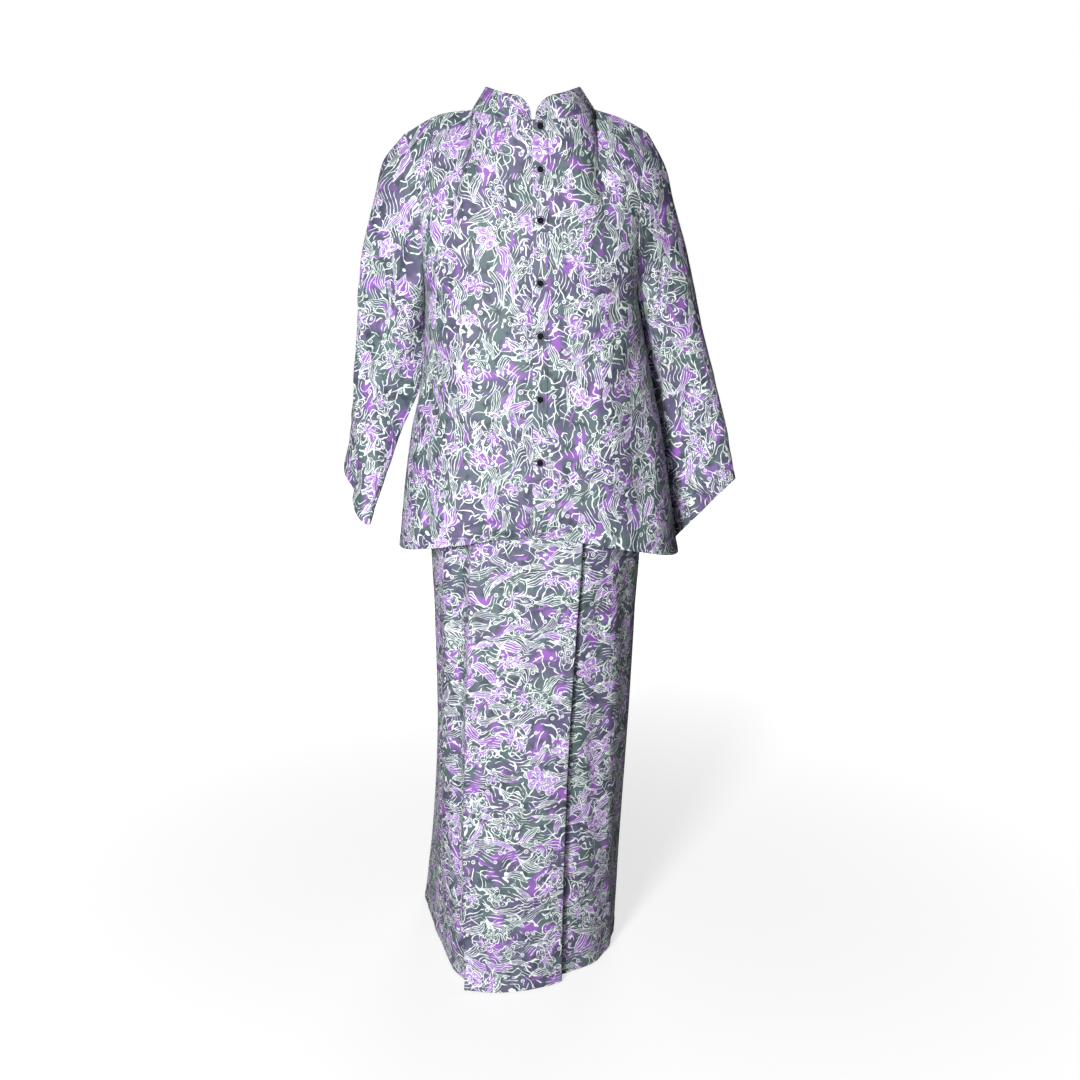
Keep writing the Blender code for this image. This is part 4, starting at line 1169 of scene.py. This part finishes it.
class Print:
    """The batik print of one material, drawn on the flat cloth in metres."""

    def __init__(self, tree):
        self.tree = tree
        place = tree.nodes.new("ShaderNodeUVMap")
        place.uv_map = "cloth"
        self.flat = place.outputs["UV"]
        self.place = self.vector("MULTIPLY", self.flat, (PRINT_SCALE, PRINT_SCALE, 1))

    def vector(self, kind, first, second):
        node = self.tree.nodes.new("ShaderNodeVectorMath")
        node.operation = kind
        return feed(self.tree, node, {0: first, 1: second}).outputs[0]

    def noise(self, place, scale, detail=1.0):
        node = self.tree.nodes.new("ShaderNodeTexNoise")
        node.noise_dimensions = "2D"
        return feed(self.tree, node, {"Vector": place, "Scale": scale, "Detail": detail})

    def amount(self, place, scale, detail=1.0):
        return Sum(self.tree, self.noise(place, scale, detail).outputs[0])

    def bend(self, place, scale, size):
        """Moves places about by up to size, so that drawn shapes look free-hand."""
        centred = self.vector("SUBTRACT", self.noise(place, scale).outputs["Color"], (0.5, 0.5, 0.5))
        return self.vector("ADD", place, self.vector("MULTIPLY", centred, (2 * size, 2 * size, 0)))

    def parts(self, source, kind="SeparateXYZ"):
        """The three numbers of a place or of a colour."""
        return [Sum(self.tree, output) for output in add_node(self.tree, kind, {0: source}).outputs]

    def cells(self, place, pitch, shift, randomness=1.0):
        """Scattered motif centres: the place from the nearest one in metres, and its three random numbers."""
        moved = self.vector("ADD", place, shift)
        node = self.tree.nodes.new("ShaderNodeTexVoronoi")
        node.voronoi_dimensions = "2D"
        feed(self.tree, node, {"Vector": moved, "Scale": 1 / pitch, "Randomness": randomness})
        x, y, _ = self.parts(self.vector("SUBTRACT", moved, node.outputs["Position"]))
        return x, y, self.parts(node.outputs["Color"], "SeparateColor")

    def turn(self, x, y, angle):
        cosine, sine = angle.op("COSINE"), angle.op("SINE")
        return x * cosine + y * sine, y * cosine - x * sine

    def mix(self, share, first, second):
        node = self.tree.nodes.new("ShaderNodeMix")
        node.data_type = "RGBA"
        return feed(self.tree, node, {0: share, 6: first, 7: second}).outputs[2]


def leaf_layer(art, place, wobble, leaves):
    """Curved leaves drawn in outline with veins along them: their inside, their lines and a random number."""
    x, y, (pick, size, tint) = art.cells(place, leaves["pitch"], leaves["shift"])
    along, across = art.turn(x, y, pick * leaves["spread"] + (1.5708 - leaves["spread"] / 2))
    along = along / (size * 0.40 + 0.75)
    across = across + along * along * ((size - 0.5) * 26) + along * (tint - 0.5) * 0.3
    reach = (along / leaves["length"]).abs()
    half = (reach * reach * -1 + 1) * leaves["width"] * ((along / leaves["length"]) * 0.45 + 1)
    edge = half - across.abs()
    inside = edge.step(0.0, 0.0005)
    pen = wobble * 0.0006
    outline = ((edge - 0.0005).abs() - pen).step(0.0005, 0.0001)
    share = across / half.high(0.0004)
    midrib = (across.abs() - pen * 0.5).step(0.0006, 0.0002)
    veins = ((share.abs() - 0.52).abs() * half - pen * 0.5).step(0.0005, 0.0001) * reach.step(0.85, 0.55)
    kept = pick.op("FRACT").step(leaves["share"] + 0.001, leaves["share"])
    lines = outline.high(midrib.high(veins) * inside * reach.step(0.95, 0.8))
    return inside * kept, lines * kept * inside.high(outline), tint


def flower_layer(art, place, wobble, flowers):
    """Five-petalled flowers drawn free-hand: their inside, lines and heart and a random number."""
    x, y, (pick, size, tint) = art.cells(place, flowers["pitch"], flowers["shift"], 0.85)
    away = (x * x + y * y).op("SQRT")
    angle = y.op("ARCTAN2", x) + pick * 6.28
    lobe = (angle * 2.5).op("COSINE").abs()
    uneven = (angle * 2 + size * 5).op("SINE") * 0.12 + 0.92
    rim = (lobe * 0.50 + 0.50) * uneven * flowers["radius"] * (size * 0.3 + 0.85)
    share = away / rim
    edge = rim - away
    inside = edge.step(0.0, 0.0005)
    pen = wobble * 0.0008
    outline = ((edge - 0.0007).abs() - pen).step(0.0007, 0.0002)
    inner = ((edge - 0.0052).abs() - pen * 0.4).step(0.0006, 0.0002) * wobble.step(0.35, 0.55)
    split = lobe.step(0.20, 0.08) * share.step(0.20, 0.34)
    rays = (angle * 8 + wobble * 5).op("COSINE").step(0.30, 0.80)
    rays = rays * share.step(0.66, 0.34) * share.step(0.04, 0.12)
    dots = (angle * 6).op("COSINE").step(0.4, 0.8) * (share - 0.72).abs().step(0.07, 0.03)
    lines = outline.high(inner).high(split).high(rays).high(dots)
    return inside, lines * edge.step(-0.0022, -0.0004), share.step(0.62, 0.42), tint


def stroke_layer(art, place, strokes):
    """Short curved brush strokes, fuller at one end."""
    x, y, (pick, size, tint) = art.cells(place, strokes["pitch"], strokes["shift"])
    along, across = art.turn(x, y, pick * 2.4 + 0.37)
    across = across + along * along * ((tint - 0.5) * 70)
    reach = (along / strokes["length"]).abs()
    half = (reach * reach * -1 + 1) * strokes["width"] * ((along / strokes["length"]) * 0.6 + 0.9)
    kept = size.step(strokes["share"] + 0.001, strokes["share"])
    return (half - across.abs()).step(-0.0001, 0.0005) * kept


def flow_lines(art, place, wobble):
    """Wavy strands that run up the cloth, swell and thin, and break off."""
    swirl = art.amount(art.place, 13) * 10.5 + art.amount(place, 40, 0.5) * 1.6
    flow = art.parts(place)[0] * 74 + swirl
    off = (flow.op("FRACT") - 0.5).abs()
    broken = art.amount(art.vector("ADD", art.place, (7.7, 4.1, 0)), 58)
    return (off - wobble * 0.06 - (broken - 0.5) * 0.20).step(0.052, 0.024) * broken.step(0.40, 0.46)


def add_rings(art, colour, ground):
    """Small rings, each with a dot, on a clear patch of ground."""
    x, y, (pick, size, _) = art.cells(art.place, 0.024, (0.3, 0.9, 0))
    away = (x * x + y * y).op("SQRT")
    kept = pick.step(0.46, 0.45)
    ring = (away - size * 0.0016 - 0.0022).abs().step(0.0010, 0.0005) * kept
    colour = art.mix((away - size * 0.0016).step(0.0044, 0.0040) * kept, colour, ground)
    return art.mix(ring.high(away.step(0.0012, 0.0007) * kept), colour, PALE)


def batik(art):
    """The whole print: flowing lines, rings, leaves, flowers and strokes on a ground of soft patches."""
    place = art.bend(art.bend(art.place, 14, 0.018), 52, 0.0030)
    wobble = art.amount(art.place, 130).step(0.30, 0.74)
    second = art.amount(art.vector("ADD", art.place, (3.1, 1.7, 0)), 26, 1.5)
    ground = art.mix(art.amount(art.place, 15).step(0.40, 0.60), GROUND, SLATE)
    ground = art.mix(art.amount(art.place, 48, 2.0).step(0.30, 0.52), GROUND_DEEP, ground)
    ground = art.mix(second.step(0.54, 0.74), ground, VIOLET)
    colour = add_rings(art, art.mix(flow_lines(art, place, wobble), ground, PALE), ground)
    for leaves in LEAVES:
        inside, lines, tint = leaf_layer(art, place, wobble, leaves)
        colour = art.mix(inside, colour, art.mix(tint.step(0.74, 0.75), ground, VIOLET))
        colour = art.mix(lines, colour, PALE)
    for flowers in FLOWERS:
        inside, lines, heart, tint = flower_layer(art, place, wobble, flowers)
        fill = art.mix(tint.step(0.84, 0.85), ground, LILAC)
        colour = art.mix(inside, colour, art.mix(heart * tint.step(0.30, 0.31), fill, VIOLET))
        colour = art.mix(lines, colour, PALE)
    for strokes in STROKES:
        colour = art.mix(stroke_layer(art, place, strokes), colour, strokes["ink"])
    return colour


def new_material(name):
    """A new material and its node tree."""
    material = bpy.data.materials.new(name)
    material.use_nodes = True
    return material, material.node_tree


def cloth_material(name):
    """The printed cloth: its colours, a fine weave and a soft sheen."""
    material, tree = new_material(name)
    tree.nodes.clear()
    art = Print(tree)
    scaled = tree.nodes.new("ShaderNodeVectorMath")
    scaled.operation = "SCALE"
    feed(tree, scaled, {0: batik(art), "Scale": art.amount(art.flat, 9, 2.0) * 0.16 + 0.92})
    warp, weft = [(part * (2 * math.pi / WEAVE_PITCH)).op("SINE") for part in art.parts(art.flat)[:2]]
    weave = warp * weft * 0.5 + art.amount(art.flat, 420, 2.0) * 0.9
    bump = add_node(tree, "Bump", {"Height": weave, **CLOTH_BUMP})
    inputs = {"Base Color": scaled.outputs[0], "Normal": bump.outputs[0], **CLOTH_SURFACE}
    shader = add_node(tree, "BsdfPrincipled", inputs)
    add_node(tree, "OutputMaterial", {0: shader.outputs[0]})
    return material


def plain_material(name, colour, rough):
    """A plain material with a fine uneven grain."""
    material, tree = new_material(name)
    place = add_node(tree, "TexCoord", {})
    noise = add_node(tree, "TexNoise", {"Vector": place.outputs["Object"], "Scale": GRAIN_SCALE})
    ramp = add_node(tree, "ValToRGB", {0: noise.outputs[0]})
    for stop, shade in zip(ramp.color_ramp.elements, GRAIN_SHADES):
        stop.color = (*[part * shade for part in colour], 1)
    bump = add_node(tree, "Bump", {"Height": noise.outputs[0], **GRAIN_BUMP})
    surface = {"Roughness": rough, "Specular IOR Level": PLAIN_SPECULAR}
    looks = {"Base Color": ramp.outputs[0], "Normal": bump.outputs[0], **surface}
    feed(tree, tree.nodes["Principled BSDF"], looks)
    return material


# The garment.


def dress(name, piece, material, thickness=SHEER):
    made = add_cloth(f"cloth_{name}", piece, thickness, material, print_places(name, piece))
    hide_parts(name)


def tunic_pieces():
    """The fronts, the back and the sleeves, with their folds and seams."""
    pieces = {}
    for side in ("left", "right"):
        grid = refine(front_panel(side), HEM_PLACES, SEAM_PLACES, (), SEAM_PLACES)
        pieces[f"front_{side}"] = make_piece(grid)
    pieces["back"] = make_piece(refine(back_panel(), HEM_PLACES, SEAM_PLACES, SEAM_PLACES, SEAM_PLACES))
    for side in ("left", "right"):
        pieces[f"sleeve_{side}"] = make_piece(refine(sleeve_grid(side), SEAM_PLACES, HEM_PLACES), True)
    share_normals(list(pieces.values()))
    for name, piece in pieces.items():
        shape = shape_sleeve if piece["closed"] else shape_panel
        shape(name, piece)
    return pieces


def skirt_pieces():
    """The three pieces of the skirt, with their folds and seams."""
    sections = {
        "skirt_front": (front_section, (), SEAM_PLACES),
        "skirt_back": (back_section, SEAM_PLACES, SEAM_PLACES),
        "skirt_under": (under_section, SEAM_PLACES, ()),
    }
    pieces = {}
    for name, (section, near, far) in sections.items():
        pieces[name] = make_piece(refine(skirt_grid(section), HEM_PLACES, (), near, far))
    share_normals(list(pieces.values()))
    for name, piece in pieces.items():
        shape_skirt(name, piece)
    return pieces


def placket_band(front):
    """The placket, from the first columns of the wearer's left front, moved out, its edges pressed down."""
    columns = len(PLACKET_PLACES) + 1
    points, normals = front["points"][:, :columns].copy(), front["normals"][:, :columns]
    across = front["across"][:, :columns]
    edge = np.minimum(across, across[:, -1:] - across)
    raise_by = LAYER_GAP + PLACKET_CLOTH + dip(edge, **EDGE_ROLL)
    points += normals * (raise_by + dip(edge - PLACKET_STITCH, **PLACKET_GROOVE))[..., None]
    points[-1] += (points[-2] - points[-1]) * 0.5
    made = {"points": points, "normals": normals, "closed": False}
    return {**made, "across": across, "up": front["up"][:, :columns]}


def collar_band():
    """The collar, with the roll of its folded edge and the groove of its stitching."""
    collar = collar_piece()
    collar["points"][0] += collar["normals"][0] * COLLAR_LAP["out"] - np.array([0, 0, COLLAR_LAP["down"]])
    across, up = flat_places(collar["points"])
    top = up[-1:] - up
    side = np.minimum(across, across[:, -1:] - across)
    edge = np.minimum(top, np.maximum(side, 0.0001))
    height = dip(edge, **EDGE_ROLL) + dip(edge - COLLAR_STITCH, **COLLAR_GROOVE)
    wave = COLLAR_WAVE["size"] * np.sin(across / COLLAR_WAVE["long"])
    height += wave * calm(up, 0.01) * calm(top, 0.01) * calm(side, 0.02) + seam_dip(up) * 0.6
    collar["across"], collar["up"] = across, up
    lift(collar, height)
    return collar


def waist_band():
    """The waistband: a plain ring that stands on the skirt's top edge."""
    height = SKIRT_SECTIONS["height"][-1]
    front = wrap_front(height)
    left = through([skirt_line("left", height), skirt_line("corner", height), front[0]], DENSE)
    loop = np.vstack([front, flank_line(height)[1:], back_section(height)[1:], left[1:]])
    plan = evenly(loop, WAISTBAND_COLUMNS)[:-1]
    rings = [at_level(plan, level) for level in height + np.linspace(0, WAISTBAND_HEIGHT, 3)]
    band = make_piece(np.array(rings), True)
    band["across"], band["up"] = flat_places(band["points"], True)
    return band


def spokes(sides, first, second):
    """Arrows of length 1 round a circle, from one direction towards another."""
    turns = np.arange(sides) * 2 * math.pi / sides
    return np.cos(turns)[:, None] * first + np.sin(turns)[:, None] * second


def add_tube(name, rings, ends, material):
    """Adds a shape of rings of corners, closed at both ends about a middle corner."""
    sides = len(rings[0])
    last = (len(rings) - 1) * sides
    faces = []
    for k in range(sides):
        after = (k + 1) % sides
        faces += [(after, k, last + sides), (last + k, last + after, last + sides + 1)]
        for ring in range(0, last, sides):
            faces.append((ring + k, ring + after, ring + sides + after, ring + sides + k))
    return add_mesh(name, np.vstack([*rings, *ends]), faces, material, [True] * len(faces))


def add_button(name, centre, axis, material):
    """A covered button: a turned shape about its axis, whose cloth is a little puckered."""
    aside = unit(np.cross(axis, [0, 0, 1.0]))
    arrows = spokes(BUTTON_SIDES, aside, np.cross(aside, axis))
    turns = np.arange(BUTTON_SIDES) * 2 * math.pi / BUTTON_SIDES
    rings = []
    for number, (radius, height) in enumerate(BUTTON_RINGS):
        wave = np.cos(turns * BUTTON_PUCKER["times"] + number * BUTTON_PUCKER["twist"])
        pucker = 1 + BUTTON_PUCKER["size"] * wave[:, None]
        rings.append(centre + axis * height + arrows * radius * pucker)
    ends = [centre + axis * BUTTON_RINGS[0][1], centre + axis * (BUTTON_RINGS[-1][1] + BUTTON_CAP)]
    return add_tube(name, rings, ends, material)


def add_loop(name, centre, axis, material):
    """The fine cord loop that holds a button, from under the placket's edge round the button."""
    aside = unit(np.cross([0, 0, 1.0], axis))
    upward = unit(np.cross(axis, aside))
    toward = aside if aside[0] < 0 else -aside
    turns = np.linspace(-LOOP["turn"], LOOP["turn"], LOOP["points"])
    places = [(out, -up) for out, up in LOOP_TAIL]
    places += [(-math.cos(turn) * LOOP["aside"], math.sin(turn) * LOOP["up"]) for turn in turns]
    places += LOOP_TAIL[::-1]
    line = np.array([centre + toward * out + upward * up for out, up in places]) + axis * LOOP["above"]
    rings = []
    for point, ahead in zip(line, unit(np.gradient(line, axis=0))):
        rings.append(point + CORD["thick"] * spokes(CORD["sides"], unit(np.cross(ahead, axis)), axis))
    return add_tube(name, rings, [line[0], line[-1]], material)


def add_buttons(placket, cloth, thread):
    """The covered buttons down the placket's middle, each in a cord loop."""
    middle = placket["points"].shape[1] // 2
    line, normals = placket["points"][:, middle], placket["normals"][:, middle]
    for number, height in enumerate(BUTTON_HEIGHTS, start=1):
        level = np.clip(height, line[0, 2] + BUTTON_CLEAR["low"], line[-1, 2] - BUTTON_CLEAR["high"])
        centre, axis = read_at(level, line[:, 2], line), unit(read_at(level, line[:, 2], normals))
        made = add_button(f"covered_button_{number}", centre, axis, cloth)
        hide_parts(f"button_{number}")
        add_loop(f"button_loop_{number}", centre, axis, thread)


def sew(pieces, placket, collar, thread):
    """The stitching that shows along hems, cuffs, placket and collar."""
    lines = [line_at(pieces[name], HEM_STITCH) for name in ("front_left", "front_right", "back")]
    lines += [line_at(pieces[name], HEM_STITCH, True) for name in ("sleeve_left", "sleeve_right")]
    lines += [line_at(placket, PLACKET_STITCH, far, "across") for far in (False, True)]
    lines += [line_at(collar, COLLAR_STITCH, True)]
    add_stitches("tunic_stitches", lines, thread)
    lines = [line_at(pieces[name], HEM_STITCH) for name in ("skirt_front", "skirt_back", "skirt_under")]
    add_stitches("skirt_stitches", lines, thread)


# The studio.


def add_light(name, place, target, size, power):
    data = bpy.data.lights.new(name, "AREA")
    data.shape = "DISK"
    data.size = size
    data.energy = power
    made = add_object(name, data)
    made.location = place
    x, y, z = unit(np.array(target, float) - np.array(place))
    # A light looks along its own -Z.
    made.rotation_euler = (math.acos(-z), 0.0, math.atan2(-x, y))


def add_floor():
    """A wide white floor a little below the hem."""
    floor = bpy.data.meshes.new("floor")
    corners = [(x * FLOOR_REACH, y * FLOOR_REACH, 0) for x, y in ((-1, -1), (1, -1), (1, 1), (-1, 1))]
    floor.from_pydata(corners, [], [(0, 1, 2, 3)])
    floor.materials.append(floor_material())
    made = add_object("floor", floor)
    made.location = (0, 0, -ORIGIN_HEIGHT - FLOOR_BELOW)


def add_studio():
    """The floor, the lights and the surroundings, which the camera sees white."""
    add_floor()
    world = bpy.data.worlds.new("studio")
    bpy.context.scene.world = world
    world.use_nodes = True
    tree = world.node_tree
    around = feed(tree, tree.nodes["Background"], {0: WORLD_COLOUR, 1: WORLD_LIGHT})
    seen, path = add_node(tree, "Background", {0: (1, 1, 1, 1)}), add_node(tree, "LightPath", {})
    share = path.outputs["Is Camera Ray"]
    mix = add_node(tree, "MixShader", {0: share, 1: around.outputs[0], 2: seen.outputs[0]})
    feed(tree, tree.nodes["World Output"], {0: mix.outputs[0]})
    bpy.context.scene.view_settings.view_transform = "Standard"
    for light in LIGHTS:
        add_light(**light)


def floor_material():
    """A white floor: seen bright, with the garment's soft shadow, partly cast by the lamps on its matt part
    and partly painted as a dimmer glow near the garment, and throwing little light back.
    """
    material, tree = new_material("floor")
    tree.nodes.clear()
    matt = add_node(tree, "BsdfDiffuse", {0: FLOOR_COLOUR})
    away = tree.nodes.new("ShaderNodeVectorMath")
    away.operation = "LENGTH"
    feed(tree, away, {0: add_node(tree, "TexCoord", {}).outputs["Object"]})
    # The glow dims towards the garment: a painted soft shadow on the floor, added to the shadow that the
    # lamps cast.
    reach = tree.nodes.new("ShaderNodeMapRange")
    reach.interpolation_type = "SMOOTHSTEP"
    feed(tree, reach, {"Value": away.outputs["Value"], **FLOOR_GLOW_AND_PAINTED_SHADOW})
    seen = Sum(tree, add_node(tree, "LightPath", {}).outputs["Is Camera Ray"])
    glow_and_painted_shadow = add_node(tree, "Emission", {"Strength": seen * Sum(tree, reach.outputs[0])})
    both = add_node(tree, "AddShader", {0: matt.outputs[0], 1: glow_and_painted_shadow.outputs[0]})
    add_node(tree, "OutputMaterial", {0: both.outputs[0]})
    return material


def add_camera():
    data = bpy.data.cameras.new("camera")
    data.sensor_width = SENSOR_WIDTH
    data.sensor_fit = "HORIZONTAL"
    data.lens = CAMERA["focal_px"] / CAMERA["frame_px"] * SENSOR_WIDTH
    made = add_object("camera", data)
    made.location = CAMERA["place"]
    made.rotation_euler = (math.radians(90 - CAMERA["tilt"]), 0, 0)
    bpy.context.scene.camera = made


def main():
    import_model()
    cloth = cloth_material("batik_cloth")
    thread = plain_material("thread", (0.10, 0.12, 0.14), 0.7)
    button_cloth = plain_material("button_cloth", (0.005, 0.005, 0.009), 0.9)
    tunic = tunic_pieces()
    skirt = skirt_pieces()
    pieces = {**tunic, **skirt}
    placket, collar, band = placket_band(tunic["front_left"]), collar_band(), waist_band()
    for name, piece in tunic.items():
        dress(name, piece, cloth)
    for name, piece in skirt.items():
        dress(name, piece, cloth)
    dress("placket", placket, cloth, PLACKET_CLOTH)
    dress("collar", collar, cloth, COLLAR_CLOTH)
    dress("waistband", band, cloth, COLLAR_CLOTH)
    add_buttons(placket, button_cloth, thread)
    sew(pieces, placket, collar, thread)
    add_studio()
    add_camera()


main()
